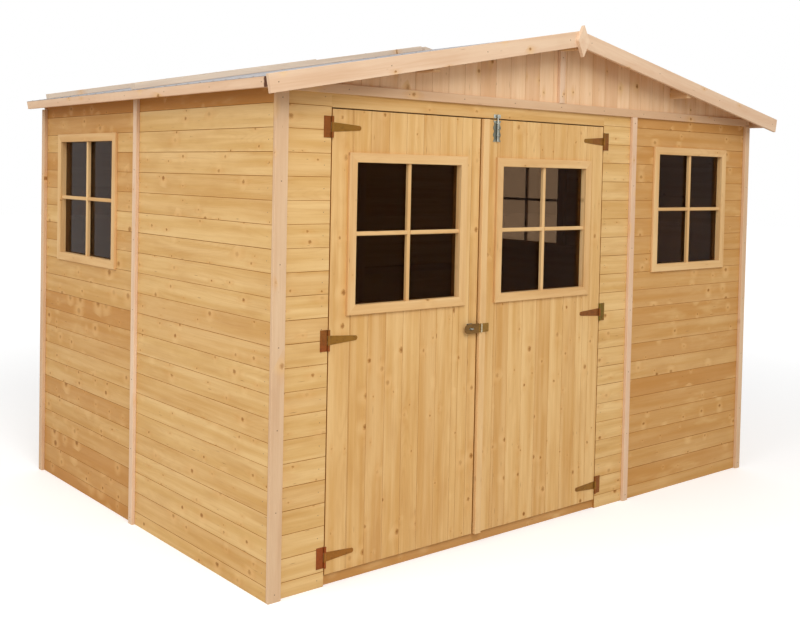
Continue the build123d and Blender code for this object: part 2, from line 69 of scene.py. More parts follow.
# %% The roof's slope
def ridge_and_slope():
    """Height of the top of the roof boards at the ridge, and the roof's slope in radians."""
    corners = [v.co for v in nodes["right_roof_deck"].data.vertices]
    ridge = max(c.z for c in corners)
    edge_x = max(c.x for c in corners)
    edge_z = max(c.z for c in corners if abs(c.x - edge_x) < 1e-4)
    return ridge, atan2(ridge - edge_z, edge_x)


ridge_z, slope = ridge_and_slope()
print("ridge at", round(ridge_z, 4), "m, slope", round(degrees(slope), 2), "degrees")

# %% [markdown]
# ## From a mesh to a piece of the shed
# A door's boards have to swing with the door, so every piece rides on a body of the frame. A piece
# may also stand for one of the frame's plain nodes, which is then hidden. All of that is the same
# for timber and for metal, so one function does it, whoever made the mesh.


# %% Making a piece
def turn_faces_outward(mesh):
    """Turns every face of a closed mesh outward."""
    work = bmesh.new()
    work.from_mesh(mesh)
    bmesh.ops.recalc_face_normals(work, faces=work.faces)
    work.to_mesh(mesh)
    work.free()


def add_piece(name, mesh, material, body, replaces=()):
    """Puts a mesh in the scene as a piece that rides on a body of the frame."""
    mesh.materials.append(material)
    piece = bpy.data.objects.new(name, mesh)
    scene.collection.objects.link(piece)
    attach(piece, body)
    if replaces:
        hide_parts(*replaces)
    print(name, "-", len(mesh.polygons), "faces")
    return piece


# %% [markdown]
# ## A way to lay timber
# Everything wooden is sawn from straight timber. Each timber could be an object of its own, but the
# shed has hundreds, so one small class collects many in one mesh. Each timber remembers which way it
# grows: its own length, width and thickness are kept on its points in an attribute named grain,
# shifted to a place of its own in an endless plank, so that no two boards show the same knots. A
# second attribute, tone, says how dark or orange the timber is, and on some parts it also carries
# painted shade or painted light.

# %% The class that collects timbers
endless_plank = 40.0  # size of the plank, each way, that all timbers are cut from
tone_scatter, tone_limit = 0.12, 0.15  # what chance adds to a timber's tone, as a rule and at most
# the tone given to points in a joint darkens them with painted shade and dust
darkest_board, joint_shade_and_dust_tone = 1.2, 3.0


class Timbers:
    """Straight timbers laid side by side in one mesh."""

    def __init__(self, name):
        self.name = name
        self.points, self.faces, self.grain, self.tone = [], [], [], []

    def lay(self, place, profile, ends, key, tone=0.0, joint=()):
        """Lays one timber. place turns (along, across, out) into the shed's frame. profile lists
        (across, out) round its section. ends gives the two cuts, each as (along, skew, middle):
        a cut's place along the timber changes by skew for each metre across from the middle.
        joint numbers the points of the profile that lie in a joint, where the wood is darkened with
        painted shade and dust."""
        luck = random.Random(key)
        shift = Vector([luck.uniform(0, endless_plank) for _ in range(3)])
        drift = max(-tone_limit, min(tone_limit, luck.gauss(0, tone_scatter)))
        tone = min(tone + drift, darkest_board)
        first, count = len(self.points), len(profile)
        for along, skew, middle in ends:
            for number, (across, out) in enumerate(profile):
                local = Vector((along + skew * (across - middle), across, out))
                self.points.append(place @ local)
                self.grain.append(local + shift)
                self.tone.append(joint_shade_and_dust_tone if number in joint else tone)
        near = list(range(first, first + count))
        far = [point + count for point in near]
        for i in range(count):
            j = (i + 1) % count
            self.faces.append((near[i], near[j], far[j], far[i]))
        self.faces += [near[::-1], far]

    def make(self, body, material, slot, replaces=()):
        """Turns the timbers into one piece."""
        mesh = bpy.data.meshes.new(self.name)
        mesh.from_pydata(self.points, [], self.faces)
        grain = mesh.attributes.new("grain", "FLOAT_VECTOR", "POINT")
        grain.data.foreach_set("vector", [c for v in self.grain for c in v])
        tone = mesh.attributes.new("tone", "FLOAT", "POINT")
        tone.data.foreach_set("value", self.tone)
        turn_faces_outward(mesh)
        add_piece(self.name, mesh, material, body, replaces)


print("a timber's tone drifts by up to", tone_limit)

# %% [markdown]
# ## Sections of timber
# Sawn timber has slightly eased edges, which catch the light. A bevel modifier could ease them, but
# it would round the mitres and the cuts too, so the ease is part of the section. A wall board also
# has a tongue at its upper edge that hides behind the next board. Without it daylight would show
# through the joints.

# %% Planed and tongued sections
ease, board_ease, fine_ease = 0.0012, 0.0009, 0.0005
tongue, lap_clearance = 0.004, 0.00015
in_joint = (2, 3, 4, 7, 8, 9)  # the points of a tongued section between its face and its tongue


def planed_section(low, high, back, front, edge=ease):
    """A rectangle with eased corners, from low to high across and from back to front."""
    return [
        (low + edge, front), (high - edge, front), (high, front - edge), (high, back + edge),
        (high - edge, back), (low + edge, back), (low, back + edge), (low, front - edge),
    ]


def tongued_section(low, high, gap, edge=board_ease, top=True, foot=True):
    """A board from low to high, its face at 0. It laps the next one behind a narrow gap. top and
    foot say whether there is a next board at that edge."""
    half = gap / 2
    middle = -board_thickness / 2
    lip_high = high - half if top else high
    back_high = high - half + tongue if top else high
    lip_low = low + half if foot else low
    back_low = low + half + tongue if foot else low
    return [
        (lip_low + edge, 0), (lip_high - edge, 0), (lip_high, -edge),
        (lip_high, middle - lap_clearance), (back_high, middle - lap_clearance),
        (back_high, -board_thickness), (back_low, -board_thickness),
        (back_low, middle + lap_clearance), (lip_low, middle + lap_clearance), (lip_low, -edge),
    ]


def square_ends(start, end):
    """Two square cuts."""
    return [(start, 0.0, 0.0), (end, 0.0, 0.0)]


print("sections:", len(planed_section(0, 1, 0, 1)), "points planed,", len(tongued_section(0, 1, 0)),
      "tongued")

# %% [markdown]
# ## Where the walls are
# A wall is easiest to think of as a drawing of its outside: to the right, up, and out towards the
# viewer. Working in the shed's frame would need other code for each wall, so a matrix turns such a
# drawing into the frame, and boards, windows and ironmongery are made the same way on every side.

# %% The four walls
walls = {  # lower left corner on the ground, then which way is right, then which way is out
    "front": ((-half_width, front_y), (1, 0), (0, -1)),
    "back": ((half_width, back_y), (-1, 0), (0, 1)),
    "left": ((-half_width, back_y), (0, -1), (-1, 0)),
    "right": ((half_width, front_y), (0, 1), (1, 0)),
}


def drawing(along, across, out, origin=(0, 0, 0)):
    """The matrix from (along, across, out) to the shed's frame, from the three directions."""
    return Matrix([*zip(along, across, out, origin), (0, 0, 0, 1)])


def wall_matrix(side, upright=False):
    """The drawing of a wall, with its timbers along the ground or, if upright, along the height."""
    (x, y), right, out = walls[side]
    right, up = (*right, 0), (0, 0, 1)
    along, across = (up, right) if upright else (right, up)
    return drawing(along, across, (*out, 0), (x, y, 0))


def drawn(side, box):
    """A box of the shed's frame as (left, bottom, right, top) on a wall's drawing."""
    back = wall_matrix(side).inverted()
    a, b = back @ box[0], back @ box[1]
    return min(a.x, b.x), min(a.y, b.y), max(a.x, b.x), max(a.y, b.y)


def on_wall(side, node):
    """A node's box on a wall's drawing."""
    return drawn(side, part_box(node))


print("left of the doors:", [round(v, 3) for v in on_wall("front", "front_left_boards")])

# %% [markdown]
# ## The camera
# The shed is seen from its front left corner at a person's eye height. Turning the camera's object by
# eye would do, but three plain angles say what they are: which way it looks, how far it dips and
# how far it leans.

# %% Camera
camera_data = bpy.data.cameras.new("camera")
camera_data.sensor_width = 36
camera_data.lens = 47.15
camera_data.shift_y = -0.132
camera = bpy.data.objects.new("camera", camera_data)
scene.collection.objects.link(camera)
scene.camera = camera
camera.location = (-3.6654, -4.2954, 1.6068)
heading, dip, roll = radians(39.86), radians(1.851), radians(1.185)
aim = (
    Matrix.Rotation(-heading, 4, "Z")
    @ Matrix.Rotation(pi / 2 - dip, 4, "X")
    @ Matrix.Rotation(roll, 4, "Z")
)
camera.rotation_euler = aim.to_euler()
print("camera at", tuple(round(v, 2) for v in camera.location), "m")

# %% [markdown]
# ## A short way to write shader nodes
# A finish is a tree of nodes. Adding and linking them one line at a time hides what the finish does,
# so these helpers let a tree be written like a sum: each one adds a node and gives its output.


# %% Nodes and their sockets
def plug(tree, node, **inputs):
    """Sets a node's sockets to values or to outputs of other nodes. Base_Color is the socket named
    Base Color, and i0 is the first socket."""
    for key, value in inputs.items():
        socket = node.inputs[int(key[1:]) if key[1:].isdigit() else key.replace("_", " ")]
        if isinstance(value, bpy.types.NodeSocket):
            tree.links.new(value, socket)
        else:
            socket.default_value = value


def add(tree, kind, settings=None, **inputs):
    """Adds a node. settings are its own options, and inputs go to its sockets."""
    made = tree.nodes.new(kind)
    for key, value in (settings or {}).items():
        setattr(made, key, value)
    plug(tree, made, **inputs)
    return made


def new_finish(name):
    """An empty material: (material, its tree, its Principled node)."""
    material = bpy.data.materials.new(name)
    material.use_nodes = True
    tree = material.node_tree
    return material, tree, tree.nodes["Principled BSDF"]


def srgb(red, green, blue):
    """A colour given from 0 to 255, as it looks on a screen, in the linear shares of a shader."""
    shares = [c / 255 for c in (red, green, blue)]
    return (*[c / 12.92 if c <= 0.04045 else ((c + 0.055) / 1.055) ** 2.4 for c in shares], 1.0)


print("a mid grey of 128 is", round(srgb(128, 128, 128)[0], 3), "to the renderer")


# %% Sums, noise and relief
def maths(tree, operation, a, b=0.0, c=0.0):
    """The result of one Math node."""
    return add(tree, "ShaderNodeMath", {"operation": operation}, i0=a, i1=b, i2=c).outputs[0]


def remap(tree, value, low, high, start=0.0, end=1.0, way="SMOOTHSTEP"):
    """value taken smoothly from low..high to start..end."""
    inputs = {"Value": value, "From_Min": low, "From_Max": high, "To_Min": start, "To_Max": end}
    return add(tree, "ShaderNodeMapRange", {"interpolation_type": way}, **inputs).outputs[0]


def linear(tree, value, low, high, start=0.0, end=1.0):
    """value taken evenly from low..high to start..end."""
    return remap(tree, value, low, high, start, end, "LINEAR")


def blend_colour(tree, amount, a, b):
    """a blended with b by an amount from 0 to 1."""
    return add(tree, "ShaderNodeMix", {"data_type": "RGBA"}, i0=amount, i6=a, i7=b).outputs[2]


def in_metres(tree):
    """The place of a point in the shed's frame."""
    return add(tree, "ShaderNodeTexCoord").outputs["Object"]


def noise(tree, vector, scale=1.0, detail=2.0, roughness=0.5):
    """Noise with scale waves to the metre."""
    inputs = {"Vector": vector, "Scale": scale, "Detail": detail, "Roughness": roughness}
    return add(tree, "ShaderNodeTexNoise", **inputs).outputs["Fac"]


def relief(tree, height, strength, depth):
    """A Normal that shows height as bumps of a depth in metres."""
    inputs = {"Height": height, "Strength": strength, "Distance": depth}
    return add(tree, "ShaderNodeBump", **inputs).outputs[0]


print("shader helpers ready")

# %% [markdown]
# ## The floor and the background
# The shed stands on a plain pale floor that fades into a white background. More light would make
# the floor white, but it would bleach the timber as well. So the floor and the sky are white only
# for what the camera sees, directly, mirrored or through glass, and stay plain for the light that
# falls on the shed.


# %% Floor
def seen_directly(tree):
    """1 for what the camera sees, also by reflection or through glass, and 0 for light."""
    paths = add(tree, "ShaderNodeLightPath").outputs
    mirrored = maths(tree, "MAXIMUM", paths["Is Glossy Ray"], paths["Is Transmission Ray"])
    return maths(tree, "MAXIMUM", paths["Is Camera Ray"], mirrored)


def plain_ground():
    """A floor that keeps the shed's shadow and fades to white."""
    material, tree, shader = new_finish("studio_floor")
    seen = seen_directly(tree)
    length = {"operation": "LENGTH"}
    distance = add(tree, "ShaderNodeVectorMath", length, i0=in_metres(tree)).outputs["Value"]
    glow = remap(tree, distance, 2.5, 9.0, 0.20, 0.48)
    plug(
        tree, shader, Roughness=0.9, Specular_IOR_Level=0.1, Emission_Color=(1, 1, 1, 1),
        Base_Color=blend_colour(tree, seen, srgb(205, 200, 192), srgb(250, 250, 250)),
        Emission_Strength=maths(tree, "MULTIPLY", seen, glow),
    )
    return material


floor_reach = 30.0
floor_corners = [(x * floor_reach, y * floor_reach, 0) for x, y in ((-1, -1), (1, -1), (1, 1), (-1, 1))]
floor_mesh = bpy.data.meshes.new("studio_floor")
floor_mesh.from_pydata(floor_corners, [], [(0, 1, 2, 3)])
floor_mesh.materials.append(plain_ground())
floor = bpy.data.objects.new("studio_floor", floor_mesh)
scene.collection.objects.link(floor)
print("floor:", 2 * floor_reach, "m square")

# %% Background
scene.view_settings.view_transform = "Standard"
world = bpy.data.worlds.new("studio")
world.use_nodes = True
scene.world = world
sky = world.node_tree
light_share = 0.62  # how bright the white sky is as a lamp
strength = linear(sky, seen_directly(sky), 0.0, 1.0, light_share, 1.0)
plug(sky, sky.nodes["Background"], Color=(1, 1, 1, 1), Strength=strength)
print("sky lights the shed at", light_share)

# %% [markdown]
# ## The lamps
# The light is that of a bright hazy day: soft, even, and a little stronger from the front. A sun
# lamp would throw hard shadows under the eaves, so two large square lamps are used.

# %% Lamps
lamp_size = 5.0
lit_point = Vector((0, 0, 1.0))


def soft_lamp(name, place, power):
    """A large square lamp aimed at the middle of the shed."""
    data = bpy.data.lights.new(name, "AREA")
    data.shape, data.size, data.energy = "SQUARE", lamp_size, power
    lamp = bpy.data.objects.new(name, data)
    lamp.location = place
    lamp.rotation_euler = (lit_point - Vector(place)).to_track_quat("-Z", "Y").to_euler()
    scene.collection.objects.link(lamp)
    print(name, "-", power, "W")


soft_lamp("key_lamp", (-3.5, -7.0, 6.5), 420)
soft_lamp("side_lamp", (-8.0, -1.0, 5.0), 180)

# %% [markdown]
# ## Pine
# The shed is sawn from pine or spruce. A picture of boards wrapped round the walls would repeat and
# cross the joints. So the finish is worked out from the place of each point in its own timber, which
# the grain attribute gives in metres: whichever way a timber lies, its figure runs along it.


# %% Spots and ovals along the grain
def spots(tree, along, across, spacing, share):
    """Scattered spots that are spacing = (along, across) apart on average. Gives the distance to the
    nearest one along and across the grain, three random numbers of its own and whether it is there."""
    a = maths(tree, "DIVIDE", along, spacing[0])
    b = maths(tree, "DIVIDE", across, spacing[1])
    place = add(tree, "ShaderNodeCombineXYZ", X=a, Y=b).outputs[0]
    settings = {"voronoi_dimensions": "2D", "feature": "F1"}
    cells = add(tree, "ShaderNodeTexVoronoi", settings, Vector=place, Scale=1.0, Randomness=1.0)
    centre = add(tree, "ShaderNodeSeparateXYZ", Vector=cells.outputs["Position"])
    luck = add(tree, "ShaderNodeSeparateColor", Color=cells.outputs["Color"]).outputs
    off_along = maths(tree, "MULTIPLY", maths(tree, "SUBTRACT", a, centre.outputs["X"]), spacing[0])
    off_across = maths(tree, "MULTIPLY", maths(tree, "SUBTRACT", b, centre.outputs["Y"]), spacing[1])
    here = maths(tree, "GREATER_THAN", luck[0], 1.0 - share)
    return off_along, off_across, luck, here


def oval(tree, along, across, long, wide, soft=0.4):
    """1 inside an oval that is long by wide, fading to 0 over a soft share of its size."""
    a = maths(tree, "DIVIDE", along, long)
    b = maths(tree, "DIVIDE", across, wide)
    square = maths(tree, "ADD", maths(tree, "MULTIPLY", a, a), maths(tree, "MULTIPLY", b, b))
    return remap(tree, maths(tree, "SQRT", square), 1.0 - soft, 1.0 + soft, 1.0, 0.0)


def stretched_noise(tree, vector, stretch, detail, roughness):
    """Noise on a vector that is first multiplied by stretch."""
    multiply = {"operation": "MULTIPLY"}
    pulled = add(tree, "ShaderNodeVectorMath", multiply, i0=vector, i1=stretch).outputs[0]
    return noise(tree, pulled, 1.0, detail, roughness)


print("spots and ovals ready")

# %% [markdown]
# ### Knots
# A knot is where a branch was cut through: a dark heart in a brown core, with a darker rim on one
# side, in a patch of paler wood. Modelling each one would cost thousands of faces, and a noise gives
# blots but no ovals. A Voronoi pattern gives the nearest of many scattered points, and ovals drawn
# round that point make the knot.

# %% Knots
knot_spacing = (0.16, 0.062)  # along and across the grain
wobble_depth = 0.010


def knots(tree, grain, along, across, share, size):
    """The parts of the knots, by name, each as a mask from 0 to 1."""
    off_along, off_across, luck, here = spots(tree, along, across, knot_spacing, share)
    wobbles = [stretched_noise(tree, grain, (waves,) * 3, 2.0, 0.5) for waves in (150.0, 170.0)]
    pushes = [
        maths(tree, "MULTIPLY_ADD", wobble, wobble_depth, -wobble_depth / 2) for wobble in wobbles
    ]
    off_along = maths(tree, "ADD", off_along, pushes[0])
    off_across = maths(tree, "ADD", off_across, pushes[1])
    radius = linear(tree, maths(tree, "MULTIPLY", luck[1], luck[1]), 0.0, 1.0, *size)
    darkness = maths(tree, "MULTIPLY_ADD", luck[2], 0.75, 0.15)

    def ring(from_middle, long, wide, soft):
        """An oval round the knot, long and wide as multiples of the knot's radius."""
        reach = [maths(tree, "MULTIPLY", radius, times) for times in (long, wide)]
        return maths(tree, "MULTIPLY", oval(tree, off_along, from_middle, *reach, soft), here)

    beside = maths(tree, "ADD", off_across, maths(tree, "MULTIPLY_ADD", luck[2], 0.024, -0.012))
    aside = maths(tree, "ADD", off_across, maths(tree, "MULTIPLY", radius, 0.45))
    crescent = maths(
        tree, "SUBTRACT", ring(off_across, 1.25, 1.05, 0.3), ring(aside, 1.15, 1.0, 0.5)
    )
    paleness = linear(tree, luck[1], 0.0, 1.0, 0.2, 1.0)
    return {
        "around": ring(off_across, 6.0, 2.2, 0.95),
        "patch": maths(tree, "MULTIPLY", ring(beside, 3.0, 3.4, 0.8), paleness),
        "core": maths(tree, "MULTIPLY", ring(off_across, 1.35, 1.15, 0.35), darkness),
        "rim": maths(tree, "MULTIPLY", maths(tree, "MAXIMUM", crescent, 0.0), darkness),
        "heart": maths(tree, "MULTIPLY", ring(off_across, 0.60, 0.50, 0.8), darkness),
    }


print("knots lie about", knot_spacing[0], "by", knot_spacing[1], "m apart")

# %% [markdown]
# ### Figure
# A board sawn flat from a log shows flame-shaped lines, where the saw cut through the year rings.
# They could be bands along the board, but straight bands look printed. The contour lines of a long,
# stretched noise bend and close as real ones do. Short brown marks of resin are a second set of
# scattered spots, long and thin.

# %% Figure and resin
resin_spacing, resin_share, resin_width = (0.21, 0.045), 0.35, 0.0011
contours = 26.0  # year rings from the lowest to the highest value of the noise


def figure_lines(tree, grain, around_knot):
    """The dark lines of the figure, which part round a knot and fade out here and there."""
    field = stretched_noise(tree, grain, (0.9, 9.0, 12.0), 1.5, 0.35)
    raised = maths(tree, "MULTIPLY_ADD", around_knot, 0.05, field)
    rings = maths(tree, "SINE", maths(tree, "MULTIPLY", raised, contours * 2 * pi))
    lines = maths(tree, "MULTIPLY_ADD", rings, 0.5, 0.5)
    fading = remap(tree, stretched_noise(tree, grain, (1.1, 7.0, 7.0), 1.0, 0.5), 0.38, 0.66)
    return maths(tree, "MULTIPLY", maths(tree, "POWER", lines, 3.0), fading)


def resin_marks(tree, along, across):
    """A few short brown marks along the grain."""
    off_along, off_across, luck, here = spots(tree, along, across, resin_spacing, resin_share)
    length = maths(tree, "MULTIPLY_ADD", luck[1], 0.012, 0.003)
    mark = oval(tree, off_along, off_across, length, resin_width, 0.8)
    return maths(tree, "MULTIPLY", mark, maths(tree, "MULTIPLY", here, luck[2]))


print("figure of", contours, "rings")

# %% [markdown]
# ### The pine finish
# The colour starts from broad pale streaks and is then painted over in thin layers: the timber's
# tone, which on some parts also carries painted shade or painted light, clouds, the figure, fine
# fibres, and at last the knots and the joints, darkened with painted shade and dust. A colour ramp on
# one noise is the usual short way, but each layer here has its own size and strength, which is what
# makes wood look deep. The same fibres give the surface its relief and its sheen.


# %% The pine finish
def pine(name, pale, mid, deep, red, knot_share=0.48, knot_size=(0.0030, 0.0100), figure=0.12):
    """A planed softwood finish. pale to deep is its figure, red is what darker boards lean to, and
    knot_size is the radius of the smallest and the largest knot."""
    material, tree, shader = new_finish(name)
    grain = add(tree, "ShaderNodeAttribute", {"attribute_name": "grain"}).outputs["Vector"]
    tone = add(tree, "ShaderNodeAttribute", {"attribute_name": "tone"}).outputs["Fac"]
    along, across, _ = add(tree, "ShaderNodeSeparateXYZ", Vector=grain).outputs
    knot = knots(tree, grain, along, across, knot_share, knot_size)
    late = figure_lines(tree, grain, knot["around"])
    clouds = stretched_noise(tree, grain, (3.0, 11.0, 11.0), 3.0, 0.55)
    broad = stretched_noise(tree, grain, (1.2, 26.0, 26.0), 3.0, 0.5)
    narrow = stretched_noise(tree, grain, (3.0, 190.0, 190.0), 3.0, 0.6)
    fibres = stretched_noise(tree, grain, (14.0, 700.0, 700.0), 2.0, 0.6)

    colour = blend_colour(tree, remap(tree, broad, 0.30, 0.70), mid, pale)
    layers = (  # where the layer lies, how strongly, and its colour
        # tone above 0 leans to red and below 0 to pale; on some parts it is painted shade (eave
        # courses, front rail, sill) or painted light (door stops, meeting strip)
        (linear(tree, tone, 0.0, 1.1), 0.90, red),
        (linear(tree, tone, 0.0, -0.5), 0.50, pale),
        (remap(tree, clouds, 0.46, 0.72), 0.24, deep),
        (remap(tree, clouds, 0.46, 0.24), 0.40, pale),
        (late, figure, deep),
        (remap(tree, narrow, 0.48, 0.78), 0.20, deep),
        (remap(tree, fibres, 0.45, 0.80), 0.16, deep),
        (knot["patch"], 0.46, srgb(238, 202, 144)),
        (knot["around"], 0.30, srgb(206, 146, 74)),
        (resin_marks(tree, along, across), 0.70, srgb(128, 74, 22)),
        (knot["core"], 0.62, srgb(182, 120, 42)),
        (knot["rim"], 0.76, srgb(112, 62, 8)),
        (knot["heart"], 0.85, srgb(112, 60, 4)),
        # painted shade and dust: the points in a joint are darkened to a warm brown
        (remap(tree, tone, darkest_board + 0.2, joint_shade_and_dust_tone), 0.75, srgb(168, 108, 36)),
    )
    for amount, share, other in layers:
        colour = blend_colour(tree, maths(tree, "MULTIPLY", amount, share), colour, other)

    height = maths(tree, "MULTIPLY_ADD", fibres, 0.5, maths(tree, "MULTIPLY", narrow, 0.5))
    height = maths(tree, "MULTIPLY_ADD", late, -0.25, height)
    plug(
        tree, shader, Base_Color=colour, Roughness=linear(tree, narrow, 0.3, 0.7, 0.66, 0.54),
        Specular_IOR_Level=0.14, Normal=relief(tree, height, 0.22, 0.0006),
    )
    print(name, "-", len(tree.nodes), "nodes")
    return material


# %% [markdown]
# ### The shed's timbers
# The walls, the doors, the trims, the roof's edges and the hidden framing come from different
# timber: some golden and knotty, some pinkish and clear, some greyed by the weather. One function
# with other colours and other knots makes them all, so they stay a family.

# %% Pine for each part of the shed
wall_colours = (srgb(230, 193, 134), srgb(213, 170, 105), srgb(180, 125, 62), srgb(182, 118, 48))
wall_pine = pine("wall_pine", *wall_colours)
knotty_pine = pine("knotty_pine", *wall_colours, knot_share=0.60, knot_size=(0.0040, 0.0150))
door_pine = pine(
    "door_pine", srgb(230, 191, 132), srgb(212, 165, 100), srgb(182, 125, 62), srgb(186, 128, 66)
)
joinery_pine = pine(
    "joinery_pine", srgb(230, 192, 138), srgb(217, 172, 114), srgb(184, 130, 74),
    srgb(190, 134, 80), knot_share=0.10,
)
trim_pine = pine(
    "trim_pine", srgb(222, 190, 154), srgb(213, 177, 140), srgb(192, 148, 110), srgb(202, 154, 114),
    knot_share=0.12, figure=0.06,
)
edge_pine = pine(
    "edge_pine", srgb(234, 206, 176), srgb(224, 190, 158), srgb(200, 156, 118), srgb(208, 158, 120),
    knot_share=0.26,
)
worn_pine = pine(
    "worn_pine", srgb(222, 204, 184), srgb(206, 186, 166), srgb(178, 150, 124), srgb(186, 150, 120),
    knot_share=0.26,
)
frame_pine = pine(
    "frame_pine", srgb(222, 184, 140), srgb(204, 162, 116), srgb(172, 122, 76), srgb(166, 106, 60)
)
gable_pine = pine(
    "gable_pine", srgb(240, 204, 164), srgb(232, 190, 146), srgb(196, 144, 98), srgb(196, 138, 90),
    knot_share=0.35, figure=0.06,
)
deck_pine = pine(
    "deck_pine", srgb(220, 180, 130), srgb(202, 158, 108), srgb(172, 122, 74), srgb(166, 108, 60)
)

# %% [markdown]
# ## Wall boards
# The walls are clad with boards that lie flat, one course every 90 mm. A whole wall with grooves in
# its relief would be quicker, but the light would not catch the joints and every course would share
# one figure. So each course is its own timber, with its own tone and knots. Round a window a course
# is sawn into shorter pieces, and the casing will cover those cuts.

# %% Panels and the holes in them
casing_width = 0.038
hole_margin = 0.013  # from a window's clear hole to the hole in the boards


def solids(node):
    """The box of each separate solid in a node, as a list of (low, high)."""
    work = bmesh.new()
    work.from_mesh(nodes[node].data)
    bmesh.ops.remove_doubles(work, verts=work.verts, dist=1e-6)
    left, found = set(work.verts), []
    while left:
        group = [left.pop()]
        for vert in group:
            for edge in vert.link_edges:
                other = edge.other_vert(vert)
                if other in left:
                    left.remove(other)
                    group.append(other)
        low = Vector([min(v.co[i] for v in group) for i in range(3)])
        high = Vector([max(v.co[i] for v in group) for i in range(3)])
        found.append((low, high))
    work.free()
    return sorted(found, key=lambda box: tuple(round(c, 4) for c in (*box[0], *box[1])))


def inset_by(hole, inset):
    """A smaller (left, bottom, right, top), inset on all four sides."""
    left, bottom, right, top = hole
    return left + inset, bottom + inset, right - inset, top - inset


def board_hole(side, window):
    """The hole that a window's lining leaves in the boards, from the window frame's box."""
    return inset_by(on_wall(side, window), casing_width - hole_margin)


def around(hole, start, end, low, high):
    """Splits a strip of boards, start to end by low to high, round a hole."""
    left, bottom, right, top = hole or (0, 0, 0, 0)
    if not hole or high <= bottom or low >= top or end <= left or start >= right:
        return [(start, end, low, high)]
    pieces = []
    if start < left:
        pieces.append((start, left, low, high))
    if end > right:
        pieces.append((right, end, low, high))
    if low < bottom:
        pieces.append((max(start, left), min(end, right), low, bottom))
    if high > top:
        pieces.append((max(start, left), min(end, right), top, high))
    return pieces


print("solids in the middle panel:", len(solids("front_middle_boards")))

# %% Courses of boards
joint_gap = (0.0003, 0.0013)  # narrowest and widest
thinnest_course = 0.004
eave_shade_above = top_joint + 0.08  # a course that ends higher lies under the eaves
# painted shade: a course under the eaves has its tone raised by this much, darker and more orange
painted_eave_shade_tone = 0.9


def course_marks(bottom, top):
    """Heights of the course joints from bottom to top, with both ends."""
    count = int(top_joint / board_pitch) + 2
    heights = [top_joint + board_pitch * (1 - i) for i in range(count)]
    inner = [h for h in heights if bottom + thinnest_course < h < top - thinnest_course]
    return [bottom, *sorted(inner), top]


def lay_courses(timbers, side, panel, hole, name, lean, spread):
    """Clads one panel, given on the wall's drawing, with boards that lie flat. Their tones lean
    one way and spread about it, and the courses under the eaves get painted shade."""
    left, bottom, right, top = panel
    marks = course_marks(bottom, top)
    place = wall_matrix(side)
    for row, (low, high) in enumerate(zip(marks, marks[1:])):
        luck = random.Random(f"{name} tone {row}")
        tone = lean + luck.uniform(-spread, spread)
        # painted shade on the courses under the eaves
        if high > eave_shade_above:
            tone += painted_eave_shade_tone
        gap = luck.uniform(*joint_gap)
        for start, end, foot, head in around(hole, left, right, low, high):
            section = tongued_section(foot, head, gap, top=head < top, foot=foot > bottom)
            ends = square_ends(start, end)
            timbers.lay(place, section, ends, f"{name} {row}", tone, in_joint)


print("courses on a wall:", len(course_marks(0, top_joint)) - 1)

# %% Cladding the four walls
wall_panels = {  # the wall, the window in the panel, the lean of its tones and their spread
    "front_left_boards": ("front", None, 0.0, 0.25),
    "front_middle_boards": ("front", None, 0.0, 0.25),
    "front_window_boards": ("front", "front_window_frame", 0.64, 0.12),
    "left_front_boards": ("left", None, 0.05, 0.25),
    "left_window_boards": ("left", "left_window_frame", 0.50, 0.35),
    "right_front_boards": ("right", None, 0.0, 0.25),
    "right_window_boards": ("right", "right_window_frame", 0.40, 0.25),
    "back_wall_boards": ("back", None, 0.05, 0.25),
}
for node, (side, window, lean, spread) in wall_panels.items():
    boards = Timbers(f"{node}_laid")
    hole = board_hole(side, window) if window else None
    for number, box in enumerate(solids(node)):
        lay_courses(boards, side, drawn(side, box), hole, f"{node} {number}", lean, spread)
    finish = knotty_pine if window and side != "front" else wall_pine
    boards.make("shed", finish, "wall_boards", [node])

# %% [markdown]
# ## Doors
# Each leaf is made of boards that stand upright, nailed to ledges at the back. They are laid like
# the courses of a wall turned on end, so the same section serves. The joints are tight, and show
# only as fine lines.

# %% Boards of the two leaves
upright_pitch = 0.0915
leaf_first_board = 0.100
tight_joint = (0.0001, 0.0007)  # narrowest and widest
narrowest_board = 0.01
leaf_spread = 0.18


def lay_uprights(timbers, panel, hole, name):
    """Clads a panel of the front with upright boards."""
    left, bottom, right, top = panel
    marks = [left, left + leaf_first_board]
    while marks[-1] + upright_pitch < right - narrowest_board:
        marks.append(marks[-1] + upright_pitch)
    marks.append(right)
    place = wall_matrix("front", upright=True)
    for row, (start, end) in enumerate(zip(marks, marks[1:])):
        luck = random.Random(f"{name} tone {row}")
        tone = luck.uniform(-leaf_spread, leaf_spread)
        gap = luck.uniform(*tight_joint)
        for near, far, foot, head in around(hole, start, end, bottom, top):
            section = tongued_section(near, far, gap, fine_ease, top=far < right, foot=near > left)
            ends = square_ends(foot, head)
            timbers.lay(place, section, ends, f"{name} {row}", tone, in_joint)


for leaf in ("left_door", "right_door"):
    boards = Timbers(f"{leaf}_boards_laid")
    hole = board_hole("front", f"{leaf}_window_frame")
    lay_uprights(boards, on_wall("front", f"{leaf}_boards"), hole, f"{leaf} boards")
    boards.make(leaf, door_pine, "door_boards", [f"{leaf}_boards"])

# %% [markdown]
# ## Gables
# The triangle above each wall is clad with short upright boards, cut to the slope of the roof and
# notched round the purlins, the three long timbers that carry the roof. A boolean could cut them
# all at once, but it would leave ragged faces. Here a board is laid in strips, each with its own cut,
# and strips of one board share its key, so its figure runs on.


# %% Boards of the gables
gable_pitch, gable_gap = 0.0925, 0.0005
gable_tones = (-0.30, 0.22)


def roof_under(x):
    """Height of the underside of the roof boards at a distance from the middle."""
    return ridge_z - abs(x) * tan(slope) - board_thickness / cos(slope)


